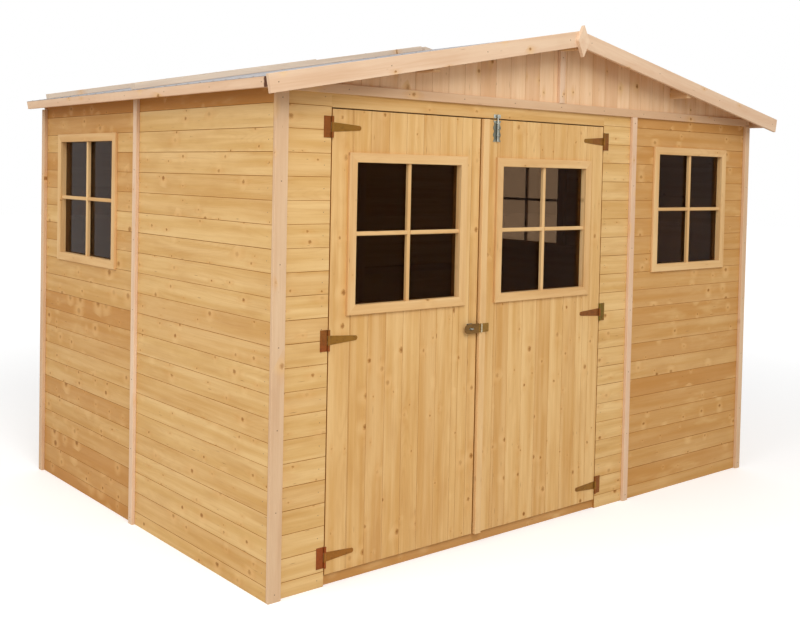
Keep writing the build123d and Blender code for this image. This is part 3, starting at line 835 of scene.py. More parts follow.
def lay_gable(timbers, side, node):
    """Clads one gable with boards whose tops follow the slope."""
    left, bottom, right, _ = on_wall(side, node)
    middle = half_width
    purlins = [drawn(side, box) for box in solids("purlins")]
    purlin_sides = [x for p_left, _, p_right, _ in purlins for x in (p_left, p_right)]
    count = int((right - left) / gable_pitch) + 1
    joints = [middle + gable_pitch * (i + 0.5) for i in range(-count, count)]
    joints = [j for j in joints if left + narrowest_board < j < right - narrowest_board]
    marks = sorted({left, right, middle, *purlin_sides, *joints})
    place = wall_matrix(side, upright=True)
    for start, end in zip(marks, marks[1:]):
        centre = (start + end) / 2
        top, skew = roof_under(centre - middle), -tan(slope) if centre > middle else tan(slope)
        for p_left, p_bottom, p_right, _ in purlins:
            if p_left < centre < p_right:
                top, skew = p_bottom, 0.0
        foot, head = [any(abs(v - j) < 1e-6 for j in joints) for v in (start, end)]
        section = tongued_section(start, end, gable_gap, fine_ease, top=head, foot=foot)
        board = sum(1 for j in joints if j < centre)
        tone = random.Random(f"{node} tone {board}").uniform(*gable_tones)
        ends = [(bottom, 0.0, 0.0), (top, skew, centre)]
        timbers.lay(place, section, ends, f"{node} {board}", tone, in_joint)


for side in ("front", "back"):
    boards = Timbers(f"{side}_gable_laid")
    lay_gable(boards, side, f"{side}_gable")
    boards.make("shed", gable_pine, "wall_boards", [f"{side}_gable"])

# %% [markdown]
# ## Squared timber
# Posts, trims and battens are plain squared timbers. The frame's own solids have the right shape,
# but no grain to guide the finish and no eased edges. So their boxes are read from the frame one
# solid at a time, and each is laid anew with its grain along its longest side.


# %% Timbers that fill a box
def lay_box(timbers, box, key, tone=0.0):
    """Lays one squared timber that fills a box."""
    low, high = box
    size = high - low
    along, across, out = sorted(range(3), key=lambda axis: -size[axis])
    axes = Matrix.Identity(3)
    place = drawing(axes[along], axes[across], axes[out])
    section = planed_section(low[across], high[across], low[out], high[out])
    timbers.lay(place, section, square_ends(low[along], high[along]), key, tone)


def squared(node, material, slot, body="shed", tone=0.0, spread=0.2):
    """Replaces a node by squared timbers, one for each of its solids."""
    timbers = Timbers(f"{node}_laid")
    for number, box in enumerate(solids(node)):
        luck = random.Random(f"{node} tone {number}")
        lay_box(timbers, box, f"{node} {number}", tone + luck.uniform(-spread, spread))
    timbers.make(body, material, slot, [node])


squared_nodes = (
    ("front_wall_frame", frame_pine, "frame_timber"),
    ("left_wall_frame", frame_pine, "frame_timber"),
    ("right_wall_frame", frame_pine, "frame_timber"),
    ("back_wall_frame", frame_pine, "frame_timber"),
    ("left_door_frame", frame_pine, "frame_timber", "left_door"),
    ("right_door_frame", frame_pine, "frame_timber", "right_door"),
    ("purlins", frame_pine, "frame_timber"),
    ("front_corner_trims", trim_pine, "trim_timber"),
    ("back_corner_trims", trim_pine, "trim_timber"),
    ("cover_battens", edge_pine, "trim_timber"),
    # painted light: the meeting strip, whose side lies in shade, gets a paler tone
    ("meeting_strip", joinery_pine, "trim_timber", "right_door", -0.5),
    # painted shade: the sill under the leaves gets a darker, redder tone
    ("door_sill", door_pine, "frame_timber", "shed", 1.0),
    ("front_wall_head", wall_pine, "wall_boards"),
    ("eave_fascias", edge_pine, "roof_edge_timber"),
)
for settings in squared_nodes:
    squared(*settings)

# %% [markdown]
# ### The rails across the foot of the gables
# A rail covers the joint between the wall's boards and the gable's. The front one is a plain squared
# timber. The back one meets the roof's edge boards, so its upper part is cut to the roof's slope: it
# is laid as two timbers with one key, a square foot and a sloping top, rather than cut by a boolean.

# %% Gable rails
fascia_height, verge_clearance = 0.038, 0.0003
# the front rail's darker tone is painted shade from the roof's overhang
rail_ease, front_rail_shade_tone = 0.0002, 0.2


def lay_back_rail(timbers, box, key):
    """A rail along the back whose top ends under the boards on the roof's edge."""
    low, high = box
    place = drawing((1, 0, 0), (0, 0, 1), (0, 1, 0))
    verge_foot = ridge_z - half_width * tan(slope) - fascia_height / cos(slope) - verge_clearance
    foot = planed_section(low.z, verge_foot, low.y, high.y, rail_ease)
    timbers.lay(place, foot, square_ends(low.x, high.x), key)
    upper = planed_section(verge_foot, high.z, low.y, high.y, rail_ease)
    lean = 1 / tan(slope)
    timbers.lay(place, upper, [(low.x, lean, verge_foot), (high.x, -lean, verge_foot)], key)


rails = Timbers("gable_rails_laid")
for number, box in enumerate(solids("gable_rails")):
    if box[0].y < 0:
        # painted shade on the front rail
        lay_box(rails, box, f"gable rail {number}", front_rail_shade_tone)
    else:
        lay_back_rail(rails, box, f"gable rail {number}")
rails.make("shed", trim_pine, "trim_timber", ["gable_rails"])

# %% [markdown]
# ## The roof's two slopes
# A slope can be drawn like a wall. For what lies on it, the drawing is seen from above: down the
# slope, towards the front, and up off the boards. For what closes its ends, it is seen from the
# front. The axes are worked out once, and both drawings use them.

# %% A drawing of each slope
eave_x, eave_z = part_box("eave_fascias")[1].x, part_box("eave_fascias")[1].z
ridge_point = (0, 0, ridge_z)


def slope_axes(side):
    """Down the slope, up off it, and towards the front. side is -1 for the left slope, 1 for the
    right."""
    down = Vector((side * cos(slope), 0, -sin(slope)))
    off = Vector((side * sin(slope), 0, cos(slope)))
    return down, off, Vector((0, -1, 0))


def slope_from_above(side):
    """The drawing (down the slope, towards the front, up off it)."""
    down, off, forward = slope_axes(side)
    return drawing(down, forward, off, ridge_point)


def slope_from_front(side):
    """The drawing (down the slope, up off it, towards the front)."""
    return drawing(*slope_axes(side), ridge_point)


def slope_end(x):
    """Distance down the slope at which the roof boards' top is x from the middle."""
    return x / cos(slope)


print("each slope is", round(slope_end(eave_x), 3), "m long")

# %% [markdown]
# ## Roof boards
# The roof boards run from the ridge down to the eaves, over the purlins. They are seen from inside
# and from under the eaves, so their planed face looks down: the same section is laid upside down.

# %% Roof boards
deck_pitch, deck_gap, deck_tone = 0.090, 0.0016, 0.1


def lay_deck(side, node):
    """Boards from the ridge to the eave, side by side from front to back."""
    low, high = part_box(node)
    timbers = Timbers(f"{node}_laid")
    ends = square_ends(0.0, slope_end(max(abs(low.x), abs(high.x))))
    count = round((high.y - low.y) / deck_pitch)
    width = (high.y - low.y) / count
    for row in range(count):
        start = -high.y + row * width
        section = tongued_section(start, start + width, deck_gap, top=row < count - 1, foot=row > 0)
        flipped = [(across, -board_thickness - out) for across, out in section]
        timbers.lay(slope_from_above(side), flipped, ends, f"{node} {row}", deck_tone)
    timbers.make("shed", deck_pine, "roof_boards", [node])


lay_deck(-1, "left_roof_deck")
lay_deck(1, "right_roof_deck")

# %% [markdown]
# ## The roof's edges
# Pale boards close the ends of the slopes: wide bargeboards in front that stand a little above the
# roof, and narrower boards behind. Each is cut plumb at the ridge, where it meets its partner, and
# square at the eave. A skewed cut in the timber's own drawing gives the plumb end.

# %% Bargeboards and the boards on the back verges
bargeboard_width, bargeboard_rise, bargeboard_past_eave = 0.070, 0.008, 0.010
edge_thickness = 0.016
ridge_clearance = 0.00015  # from the middle to each of two boards that meet at the ridge


def lay_verge(timbers, side, box, width, reach, key, rise=0.0):
    """A board along one slope's end. Its top edge stands above the roof boards by the rise."""
    back_face = -box[1].y
    section = planed_section(rise - width, rise, back_face, back_face + edge_thickness)
    start, end = ridge_clearance / cos(slope), slope_end(reach - rise * sin(slope))
    ends = [(start, -tan(slope), 0.0), (end, 0.0, 0.0)]
    timbers.lay(slope_from_front(side), section, ends, key)


for side, node in ((-1, "left_bargeboard"), (1, "right_bargeboard")):
    board = Timbers(f"{node}_laid")
    reach = eave_x + bargeboard_past_eave
    lay_verge(board, side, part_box(node), bargeboard_width, reach, node, bargeboard_rise)
    board.make("shed", edge_pine, "roof_edge_timber", [node])

verges = Timbers("back_verge_boards_laid")
for side in (-1, 1):
    lay_verge(verges, side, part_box("back_verge_boards"), fascia_height, eave_x, f"back verge {side}")
verges.make("shed", edge_pine, "roof_edge_timber", ["back_verge_boards"])

# %% [markdown]
# ## The finial
# A diamond of wood covers the joint of the two bargeboards. Its four points are blunted, as a plane
# leaves them: each is drawn as two points close together, which is simpler than a bevel.

# %% The finial
finial_low, finial_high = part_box("finial")
centre_z = (finial_low.z + finial_high.z) / 2
half_tall, half_wide = (finial_high.z - finial_low.z) / 2, (finial_high.x - finial_low.x) / 2
blunt = 0.03  # as a share of the diamond's half size
section = []
for across, up in ((1, 0), (0, 1), (-1, 0), (0, -1)):
    for turn in (-blunt, blunt):
        x = (across * (1 - blunt) - up * turn) * half_wide
        z = (up * (1 - blunt) + across * turn) * half_tall
        section.append((x, centre_z + z))
diamond = Timbers("finial_laid")
place = drawing((0, 1, 0), (1, 0, 0), (0, 0, 1))
diamond.lay(place, section, square_ends(finial_low.y, finial_high.y), "finial")
diamond.make("shed", edge_pine, "roof_edge_timber", ["finial"])

# %% [markdown]
# ## Battens on the felt
# Thin battens, nailed down the slopes, hold the roofing felt against the wind. They are the most
# weathered timber of the shed, so they get the greyed pine.

# %% Battens on the felt
felt_thickness = 0.003
batten_thickness, batten_end = 0.024, 0.010


def slope_side(box):
    """-1 for a box on the left slope and 1 for one on the right."""
    return -1 if box[1].x < 0.001 else 1


strips = Timbers("roof_battens_laid")
for number, (low, high) in enumerate(solids("roof_battens")):
    section = planed_section(-high.y, -low.y, felt_thickness, felt_thickness + batten_thickness)
    ends = square_ends(slope_end(batten_end), slope_end(eave_x - batten_end))
    place = slope_from_above(slope_side((low, high)))
    strips.lay(place, section, ends, f"roof batten {number}")
strips.make("shed", worn_pine, "roof_edge_timber", ["roof_battens"])

# %% [markdown]
# ## Roofing felt
# Felt is bitumen with fine stone grains on top. Grains as real geometry would be far too many, so
# the grit is a fine noise in both colour and relief, with slow pale patches where it has worn.


# %% The felt's finish
def felt_finish(name, dark, light, worn_share=0.35):
    """Bitumen felt with a face of fine stone grains."""
    material, tree, shader = new_finish(name)
    place = in_metres(tree)
    grit = noise(tree, place, 900.0, 2.0, 0.7)
    wear = noise(tree, place, 5.0, 5.0, 0.6)
    colour = blend_colour(tree, remap(tree, grit, 0.35, 0.65), dark, light)
    worn = maths(tree, "MULTIPLY", remap(tree, wear, 0.45, 0.75), worn_share)
    plug(
        tree, shader, Base_Color=blend_colour(tree, worn, colour, srgb(206, 200, 194)),
        Roughness=0.92, Normal=relief(tree, grit, 0.6, 0.001),
    )
    return material


felt = felt_finish("mineral_felt", srgb(142, 139, 142), srgb(200, 196, 196))
print("felt finish ready")

# %% [markdown]
# ### Strips of felt
# The felt comes from a roll, so it lies in three strips from front to back: one along each eave and
# one over the ridge that laps both. They are laid as very thin timbers, which gives the lap a real
# edge to catch the light.

# %% Strips of felt
felt_low, felt_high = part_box("roof_felt")
sheet = felt_thickness / 2
ridge_strip = 0.55  # how far down each slope the strip over the ridge reaches
lap = 0.08  # of that strip over the strip at the eave


def felt_section(back, front):
    """The section of a strip as long as the roof is deep."""
    near, far = -felt_high.y, -felt_low.y
    return [(near, back), (near, front), (far, front), (far, back)]


strips = Timbers("roof_felt_laid")
for side in (-1, 1):
    place = slope_from_above(side)
    eave_ends = square_ends(ridge_strip - lap, slope_end(eave_x))
    strips.lay(place, felt_section(0.0, sheet), eave_ends, f"felt {side}")
    ridge_ends = square_ends(sheet * 1.5 * tan(slope), ridge_strip)
    strips.lay(place, felt_section(sheet, 2 * sheet), ridge_ends, f"ridge felt {side}")
strips.make("shed", felt, "roof_felt", ["roof_felt"])

# %% [markdown]
# ## Windows
# Each window has a lining through the wall, a casing outside, a pane, and a cross of glazing bars in
# front of the pane. A joiner mitres the corners of casing and lining. A frame cut out of one plate
# would be quick, but its grain could not turn the corner, so each side is a timber with two skewed
# cuts.

# %% Rings of mitred timber, and glazing bars
lining_thickness, casing_thickness = 0.012, 0.012
wall_thickness = 0.040
bar_width, bar_back, bar_front = 0.017, -0.0175, 0.002
bar_ease, bar_tone = 0.003, -0.1


def mitred_ring(timbers, side, hole, width, back, front, name):
    """Four timbers round the inside of (left, bottom, right, top), mitred at the corners."""
    left, bottom, right, top = hole
    for upright, (start, end), (low, high), words in (
        (False, (left, right), (bottom, top), ("foot", "head")),
        (True, (bottom, top), (left, right), ("near", "far")),
    ):
        place = wall_matrix(side, upright)
        first = planed_section(low, low + width, back, front)
        timbers.lay(place, first, [(start, 1.0, low), (end, -1.0, low)], f"{name} {words[0]}")
        second = planed_section(high - width, high, back, front)
        timbers.lay(place, second, [(start, -1.0, high), (end, 1.0, high)], f"{name} {words[1]}")


def glazing_bars(timbers, side, hole, window):
    """An upright bar through the whole hole, and a bar across on each side of it."""
    left, bottom, right, top = hole
    centre, level, half = (left + right) / 2, (bottom + top) / 2, bar_width / 2
    tall = planed_section(centre - half, centre + half, bar_back, bar_front, bar_ease)
    place = wall_matrix(side, upright=True)
    timbers.lay(place, tall, square_ends(bottom, top), f"{window} bar", bar_tone)
    cross = planed_section(level - half, level + half, bar_back, bar_front, bar_ease)
    for start, end in ((left, centre - half), (centre + half, right)):
        key = f"{window} cross {start:.2f}"
        timbers.lay(wall_matrix(side), cross, square_ends(start, end), key, bar_tone)


print("glazing bars:", bar_width, "m wide")

# %% The five windows
windows = {  # the wall it is in, and the body that it rides on
    "front": ("front", "shed"),
    "left": ("left", "shed"),
    "right": ("right", "shed"),
    "left_door": ("front", "left_door"),
    "right_door": ("front", "right_door"),
}
for place_name, (side, body) in windows.items():
    window = f"{place_name}_window_frame"
    joinery = Timbers(f"{place_name}_window_joinery")
    outside = on_wall(side, window)
    mitred_ring(joinery, side, outside, casing_width, 0.0, casing_thickness, f"{window} casing")
    lining = inset_by(outside, casing_width - lining_thickness)
    mitred_ring(joinery, side, lining, lining_thickness, -wall_thickness, 0.0, f"{window} lining")
    glazing_bars(joinery, side, inset_by(outside, casing_width), window)
    joinery.make(body, joinery_pine, "trim_timber", [window])

# %% [markdown]
# ## Panes
# The panes are clear and a little dusty, and look brown from outside: the dark inside of the shed
# shows through them, and a brown tint in the glass adds painted shade. Their reflections are tinted
# orange, a painted colour of reflection. The frame's own panes have the right shape, so they only get
# a new finish. A full glass would bend the view as a lens does, so its index of refraction is kept
# close to air's.


# %% Panes
def pane_finish():
    """Window glass with a little dust, tinted brown with painted shade and with painted orange
    reflections.
    """
    material, tree, shader = new_finish("window_pane")
    dust = noise(tree, in_metres(tree), 9.0, 6.0, 0.65)
    plug(
        # painted shade: the brown base colour tints what is seen through; painted reflection: the
        # orange specular tint
        tree, shader, Base_Color=(0.35, 0.27, 0.20, 1), Transmission_Weight=1.0, IOR=1.14,
        Specular_Tint=(1.0, 0.52, 0.28, 1), Roughness=remap(tree, dust, 0.45, 0.75, 0.0, 0.12),
    )
    return material


def finish_node(node, material):
    """Gives one of the frame's own nodes another finish."""
    for slot in nodes[node].material_slots:
        slot.material = material


pane = pane_finish()
for place_name in windows:
    finish_node(f"{place_name}_window_glass", pane)
print("panes:", len(windows))

# %% [markdown]
# ## Door stops
# A door closes against a strip on the jamb, which also hides the gap beside the leaf, so no daylight
# shows there. The strips fill plain boxes, worked out from the doorway's own corners. Their pale
# tone is painted light, which lifts the shade in the gap.

# %% Stops beside the leaves
# the stops' paler tone is painted light that lifts the shade in the gaps beside the leaves
stop_width, stop_clearance, stop_painted_light_tone = 0.009, 0.001, -0.5
jamb_clearance = 0.0003
head_low, head_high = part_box("front_wall_head")
sill_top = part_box("door_sill")[1].z
stops = Timbers("door_stops")
for number, (x, inward) in enumerate(((head_low.x, 1), (head_high.x, -1))):
    near, far = sorted((x + inward * jamb_clearance, x + inward * stop_width))
    low = Vector((near, front_y + board_thickness + stop_clearance, sill_top + stop_clearance))
    high = Vector((far, front_y + wall_thickness, head_low.z - stop_clearance))
    lay_box(stops, (low, high), f"door stop {number}", stop_painted_light_tone)
stops.make("shed", door_pine, "frame_timber")

# %% [markdown]
# ## Metalwork
# Sheet metal is a flat outline with some thickness, and rods, straps and nail heads are a section
# that runs along a line. Curve objects with a bevel could make the rods, but a shed has hundreds of
# nail heads. So one small class makes both kinds and collects them in one mesh. Everything is drawn
# on a wall or a slope, and a matrix takes the drawing to its place.


# %% Circles and arcs
def circle(radius, sides=12):
    """A round section."""
    return [(radius * cos(2 * pi * i / sides), radius * sin(2 * pi * i / sides)) for i in range(sides)]


def arc(centre, radius, start, end, steps=6):
    """Points on an arc from one angle to another, in degrees."""
    turns = [radians(start + (end - start) * i / steps) for i in range(steps + 1)]
    return [(centre[0] + radius * cos(turn), centre[1] + radius * sin(turn)) for turn in turns]


print("a quarter turn takes", len(arc((0, 0), 1, 0, 90)), "points")

# %% The class that collects metal pieces
sharp_corner, bevelled_corner = radians(35), radians(50)
head_sink = 0.0005  # how far a nail's or a screw's head starts below the surface


class Metalwork:
    """Plates, rods and heads that share one mesh."""

    def __init__(self, name):
        self.name, self.work = name, bmesh.new()

    def sweep(self, place, points, section, sizes=None):
        """Runs a section along points (x, y, out) of a drawing. sizes scales it at each point."""
        points = [Vector(point) for point in points]
        rings = []
        for i, point in enumerate(points):
            ahead = points[min(i + 1, len(points) - 1)] - points[max(i - 1, 0)]
            turn = ahead.to_track_quat("Z", "Y")
            size = sizes[i] if sizes else 1.0
            ring = [place @ (point + turn @ Vector((a * size, b * size, 0))) for a, b in section]
            rings.append([self.work.verts.new(corner) for corner in ring])
        for here, there in zip(rings, rings[1:]):
            for i in range(len(section)):
                j = (i + 1) % len(section)
                self.work.faces.new((here[i], here[j], there[j], there[i]))
        self.work.faces.new(rings[0][::-1])
        self.work.faces.new(rings[-1])

    def plate(self, place, outline, back, front, holes=()):
        """A plate from its outline (x, y), with holes."""
        edges = []
        for ring in (outline, *holes):
            verts = [self.work.verts.new((x, y, back)) for x, y in ring]
            edges += [self.work.edges.new(pair) for pair in zip(verts, verts[1:] + verts[:1])]
        filled = bmesh.ops.triangle_fill(self.work, edges=edges, use_beauty=True)["geom"]
        faces = [part for part in filled if isinstance(part, bmesh.types.BMFace)]
        raised = bmesh.ops.extrude_face_region(self.work, geom=faces, use_keep_orig=True)["geom"]
        lifted = [part for part in raised if isinstance(part, bmesh.types.BMVert)]
        for vert in lifted:
            vert.co.z = front
        corners = {vert for face in faces for vert in face.verts} | set(lifted)
        for vert in corners:
            vert.co = place @ vert.co

    def head(self, place, x, y, out, radius, sides=10):
        """The low dome of a nail or a screw."""
        rise = radius * 0.35
        points = [(x, y, out + lift) for lift in (-head_sink, rise * 0.3, rise * 0.8, rise)]
        self.sweep(place, points, circle(radius, sides), [1.0, 1.0, 0.78, 0.30])

    def make(self, body, material, slot, replaces=(), bevel=0.0):
        """Turns the pieces into one piece of the shed, its corners bevelled by a width."""
        mesh = bpy.data.meshes.new(self.name)
        bmesh.ops.recalc_face_normals(self.work, faces=self.work.faces)
        self.work.to_mesh(mesh)
        self.work.free()
        mesh.shade_smooth()
        mesh.set_sharp_from_angle(angle=sharp_corner)
        piece = add_piece(self.name, mesh, material, body, replaces)
        if bevel:
            eased = piece.modifiers.new("eased", "BEVEL")
            eased.width, eased.segments, eased.limit_method = bevel, 2, "ANGLE"
            eased.angle_limit = bevelled_corner


print("corners past", round(degrees(sharp_corner)), "degrees stay sharp")

# %% [markdown]
# ## Metal finishes
# The tee hinges and the hasp have a bronzed finish: thin coloured plating on steel, which drifts
# between red brown, olive and orange. The slide bolt is galvanised, and the nails are dull steel. A
# metal of one colour looks like paint, so each is blended from three tints by a slow noise, and a
# quicker noise clouds its colour, its sheen and its relief.


# %% Plated steel
def plated(name, colours, metallic, roughness, drift=9.0):
    """Plated steel whose colour drifts slowly between three tints."""
    material, tree, shader = new_finish(name)
    place = in_metres(tree)
    slow = noise(tree, place, drift, 1.0)
    cloudy = noise(tree, place, 60.0, 5.0, 0.6)
    colour = blend_colour(tree, remap(tree, slow, 0.38, 0.50), colours[0], colours[1])
    colour = blend_colour(tree, remap(tree, slow, 0.52, 0.62), colour, colours[2])
    shade = maths(tree, "MULTIPLY", remap(tree, cloudy, 0.45, 0.75), 0.35)
    plug(
        tree, shader, Base_Color=blend_colour(tree, shade, colour, srgb(70, 46, 30)),
        Metallic=metallic, Specular_IOR_Level=0.10, Normal=relief(tree, cloudy, 0.15, 0.0004),
        Roughness=remap(tree, cloudy, 0.3, 0.7, roughness - 0.08, roughness + 0.10),
    )
    print(name, "-", len(tree.nodes), "nodes")
    return material


# %% Metals for each fitting
plate_bronze = plated(
    "plate_bronze", (srgb(144, 74, 34), srgb(134, 80, 34), srgb(112, 92, 30)), 0.40, 0.38, 3.0
)
strap_bronze = plated(
    "strap_bronze", (srgb(150, 98, 40), srgb(140, 98, 38), srgb(132, 78, 34)), 0.40, 0.38, 3.0
)
hasp_bronze = plated(
    "hasp_bronze", (srgb(132, 98, 42), srgb(148, 110, 52), srgb(118, 86, 44)), 0.45, 0.34
)
zinc = plated("zinc", (srgb(132, 132, 118), srgb(156, 156, 142), srgb(120, 122, 110)), 0.60, 0.36)
bright_zinc = plated(
    "bright_zinc", (srgb(176, 178, 168), srgb(196, 198, 188), srgb(168, 170, 160)), 0.8, 0.3
)
knuckle_steel = plated("knuckle_steel", (srgb(172, 158, 128),) * 3, 0.85, 0.26)
nail_steel = plated(
    "nail_steel", (srgb(128, 104, 80), srgb(140, 118, 94), srgb(118, 94, 72)), 0.5, 0.5
)

# %% [markdown]
# ## Hinges
# Six tee hinges carry the two leaves. Each has a plate on the jamb and a long strap on the leaf. The
# frame models both in their true shape, so they keep it and get the bronzed finish. What they lack is
# their screws, which are low domes set where the holes of such a hinge are.

# %% Hinges and their screws
for node, metal in (
    ("hinge_plates", plate_bronze), ("left_door_straps", strap_bronze),
    ("right_door_straps", strap_bronze),
):
    finish_node(node, metal)

front = wall_matrix("front")
sheet_thickness, screw_radius = 0.002, 0.0036
plate_inset, plate_margin = 0.016, 0.013  # from a plate's outer side and its ends to its screws
strap_screws = (0.24, 0.54, 0.88)  # as shares of the strap's length, from the hinge's pin
doorway_left, _, doorway_right, _ = on_wall("front", "front_wall_head")
doorway_middle = (doorway_left + doorway_right) / 2

screws = Metalwork("hinge_plate_screws")
for box in solids("hinge_plates"):
    left, bottom, right, top = drawn("front", box)
    x = left + plate_inset if left < doorway_middle else right - plate_inset
    for y in (bottom + plate_margin, (bottom + top) / 2, top - plate_margin):
        screws.head(front, x, y, sheet_thickness, screw_radius)
screws.make("shed", plate_bronze, "bronzed_hinges")

for body, toward in (("left_door", 1), ("right_door", -1)):
    screws = Metalwork(f"{body}_strap_screws")
    for box in solids(f"{body}_straps"):
        left, bottom, right, top = drawn("front", box)
        pin_x = left if toward > 0 else right
        for share in strap_screws:
            x = pin_x + toward * share * (right - left)
            screws.head(front, x, (bottom + top) / 2, sheet_thickness, screw_radius)
    screws.make(body, strap_bronze, "bronzed_hinges")

# %% [markdown]
# ## Hasp
# A hasp is a strap with a slot that drops over a staple. A padlock through the staple holds it. The
# strap turns on a knuckle with a plate that is screwed to the other leaf. The strap and the plates
# are stamped from sheet, so they are outlines with a thickness; the staple is a rod bent in a loop, so
# it is a round section along a line.


# %% The hasp's strap
def rounded(left, bottom, right, top, radius):
    """A rectangle with rounded corners."""
    corners = (
        (right - radius, top - radius, 0), (left + radius, top - radius, 90),
        (left + radius, bottom + radius, 180), (right - radius, bottom + radius, 270),
    )
    return [point for x, y, turn in corners for point in arc((x, y), radius, turn, turn + 90, 4)]


def stands_out(node):
    """How far a node's back and front stand out from the boards of the front wall."""
    low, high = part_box(node)
    return front_y - high.y, front_y - low.y


slot_reach, slot_half = 0.010, 0.0055  # from the staple to each round end's middle, and its radius
strap_bevel = 0.0005
strap_left, strap_bottom, strap_right, strap_top = on_wall("front", "hasp_strap")
strap_back, strap_front = stands_out("hasp_strap")
level, half = (strap_bottom + strap_top) / 2, (strap_top - strap_bottom) / 2
staple_box = on_wall("front", "hasp_staple")
staple_x = (staple_box[0] + staple_box[2]) / 2
outline = [
    (strap_right, strap_bottom), (strap_right, strap_top),
    *arc((strap_left + half, level), half, 90, 270, 14),
]
slot_hole = (
    arc((staple_x + slot_reach, level), slot_half, -90, 90)
    + arc((staple_x - slot_reach, level), slot_half, 90, 270)
)
strap = Metalwork("hasp_strap_slotted")
strap.plate(front, outline, strap_back, strap_front, [slot_hole])
strap.make("left_door", hasp_bronze, "bronzed_hasp", ["hasp_strap"], strap_bevel)

# %% The hasp's staple
staple_rod, staple_reach, rod_foot = 0.0025, 0.0065, 0.001
base_corner = 0.003
crown = stands_out("hasp_staple")[1]
bend = arc((0, crown - staple_rod - staple_reach), staple_reach, 180, 0, 8)
path = [(-staple_reach, rod_foot), *bend, (staple_reach, rod_foot)]
staple = Metalwork("hasp_staple_bent")
staple.sweep(front, [(staple_x + x, level, out) for x, out in path], circle(staple_rod))
staple.plate(front, rounded(*staple_box, base_corner), 0.0, sheet_thickness)
staple.make("left_door", bright_zinc, "bronzed_hasp", ["hasp_staple"])

# %% The hasp's plate and its knuckle
knuckle, knuckle_gap, root_clearance = 0.0045, 0.0003, 0.0006
plate_corner, root_corner = 0.002, 0.0005
screws_from_end, screws_from_middle = (0.008, 0.026), 0.010
left, bottom, right, top = on_wall("front", "hasp_plate")
plate_back = stands_out("hasp_plate")[0]
plate_front = plate_back + sheet_thickness
pin_x = left + knuckle
plate = Metalwork("hasp_plate_hinged")
plate.plate(front, rounded(pin_x, bottom, right, top, plate_corner), plate_back, plate_front)
root = rounded(strap_right + root_clearance, bottom, pin_x, top, root_corner)
plate.plate(front, root, strap_back, strap_front)
for from_end in screws_from_end:
    for y in (level + screws_from_middle, level - screws_from_middle):
        plate.head(front, right - from_end, y, plate_front, screw_radius)
plate.make("right_door", hasp_bronze, "bronzed_hasp", ["hasp_plate"])

pin = Metalwork("hasp_knuckle")
third = (top - bottom) / 3
for start in (bottom, bottom + third, bottom + 2 * third):
    ends = (start + knuckle_gap, start + (third - knuckle_gap))
    pin.sweep(front, [(pin_x, y, plate_back + knuckle) for y in ends], circle(knuckle, 20))
pin.make("right_door", knuckle_steel, "bronzed_hasp")

# %% [markdown]
# ## Slide bolt
# The bolt is a round rod that slides through two bent guides on a plate. Its plate is stamped with a
# wavy edge. When it is pushed up, its end goes into a keeper above the doorway. The wave is a
# cosine, which is smooth where it meets itself, and each guide is a flat strip that runs over the rod.

# %% Parts that bolt and keeper share
rod_radius, rod_out = 0.004, 0.0065
guide_reach, guide_out, guide_half = 0.012, 0.0027, 0.0007
guide_clearance, guide_foot = 0.0016, 0.001  # over the rod, and the flat step beside it
small_screw = 0.0028


def wavy(left, bottom, right, top, waves, depth):
    """A plate's outline whose long sides swing in between its screws."""
    steps = 12 * waves
    wave = [
        (depth * (0.5 - 0.5 * cos(2 * pi * waves * i / steps)), bottom + (top - bottom) * i / steps)
        for i in range(steps + 1)
    ]
    return [(right - inset, y) for inset, y in wave] + [(left + inset, y) for inset, y in wave[::-1]]


def guide(metal, x, y, height):
    """A strap bent over the rod."""
    over, half = rod_radius + guide_clearance, height / 2
    foot = over + guide_foot
    bend = [
        (-guide_reach, guide_out), (-foot, guide_out), *arc((0, rod_out), over, 180, 0, 8),
        (foot, guide_out), (guide_reach, guide_out),
    ]
    strip = [(-guide_half, -half), (guide_half, -half), (guide_half, half), (-guide_half, half)]
    metal.sweep(front, [(x + a, y, out) for a, out in bend], strip)


print("rod:", 2 * rod_radius, "m thick")

# %% The bolt's plate on the leaf
below_leaf_top, waves, wave_depth = 0.004, 3, 0.006
screw_across, screw_from_end, screw_from_middle = 0.0165, 0.005, 0.015
left, bottom, right, _ = on_wall("front", "slide_bolt")
bolt_x = (left + right) / 2
plate_top = on_wall("front", "right_door_boards")[3] - below_leaf_top
half_plate = (bottom + plate_top) / 2
stamped = Metalwork("slide_bolt_plate")
wavy_outline = wavy(left, bottom, right, plate_top, waves, wave_depth)
stamped.plate(front, wavy_outline, 0.0, sheet_thickness)
for y in (
    bottom + screw_from_end, half_plate - screw_from_middle,
    half_plate + screw_from_middle, plate_top - screw_from_end,
):
    for side in (-1, 1):
        stamped.head(front, bolt_x + side * screw_across, y, sheet_thickness, small_screw)
stamped.make("right_door", zinc, "zinc_bolt", ["slide_bolt"])

# %% The bolt's rod, its guides and its knob
rod_tip, rod_gap = 0.002, 0.0004  # its tapered end, and the gap to the end that stays in the keeper
guides_from_top, guide_height = (0.012, 0.066), 0.008
knob_from_top, knob_radius = 0.039, 0.003
doorway_head = head_low.z
bolt = Metalwork("slide_bolt_rod")
rod_points = [(bolt_x, y, rod_out) for y in (bottom, bottom + rod_tip, doorway_head - rod_gap)]
bolt.sweep(front, rod_points, circle(rod_radius, 16), [0.6, 1.0, 1.0])
for from_top in guides_from_top:
    guide(bolt, bolt_x, plate_top - from_top, guide_height)
knob_end, knob_y = stands_out("slide_bolt")[1], plate_top - knob_from_top
knob_points = [(bolt_x, knob_y, out) for out in (rod_out, knob_end - 0.006, knob_end - 0.004, knob_end)]
bolt.sweep(front, knob_points, circle(knob_radius), [0.8, 0.8, 1.0, 0.6])
bolt.make("right_door", bright_zinc, "zinc_bolt")

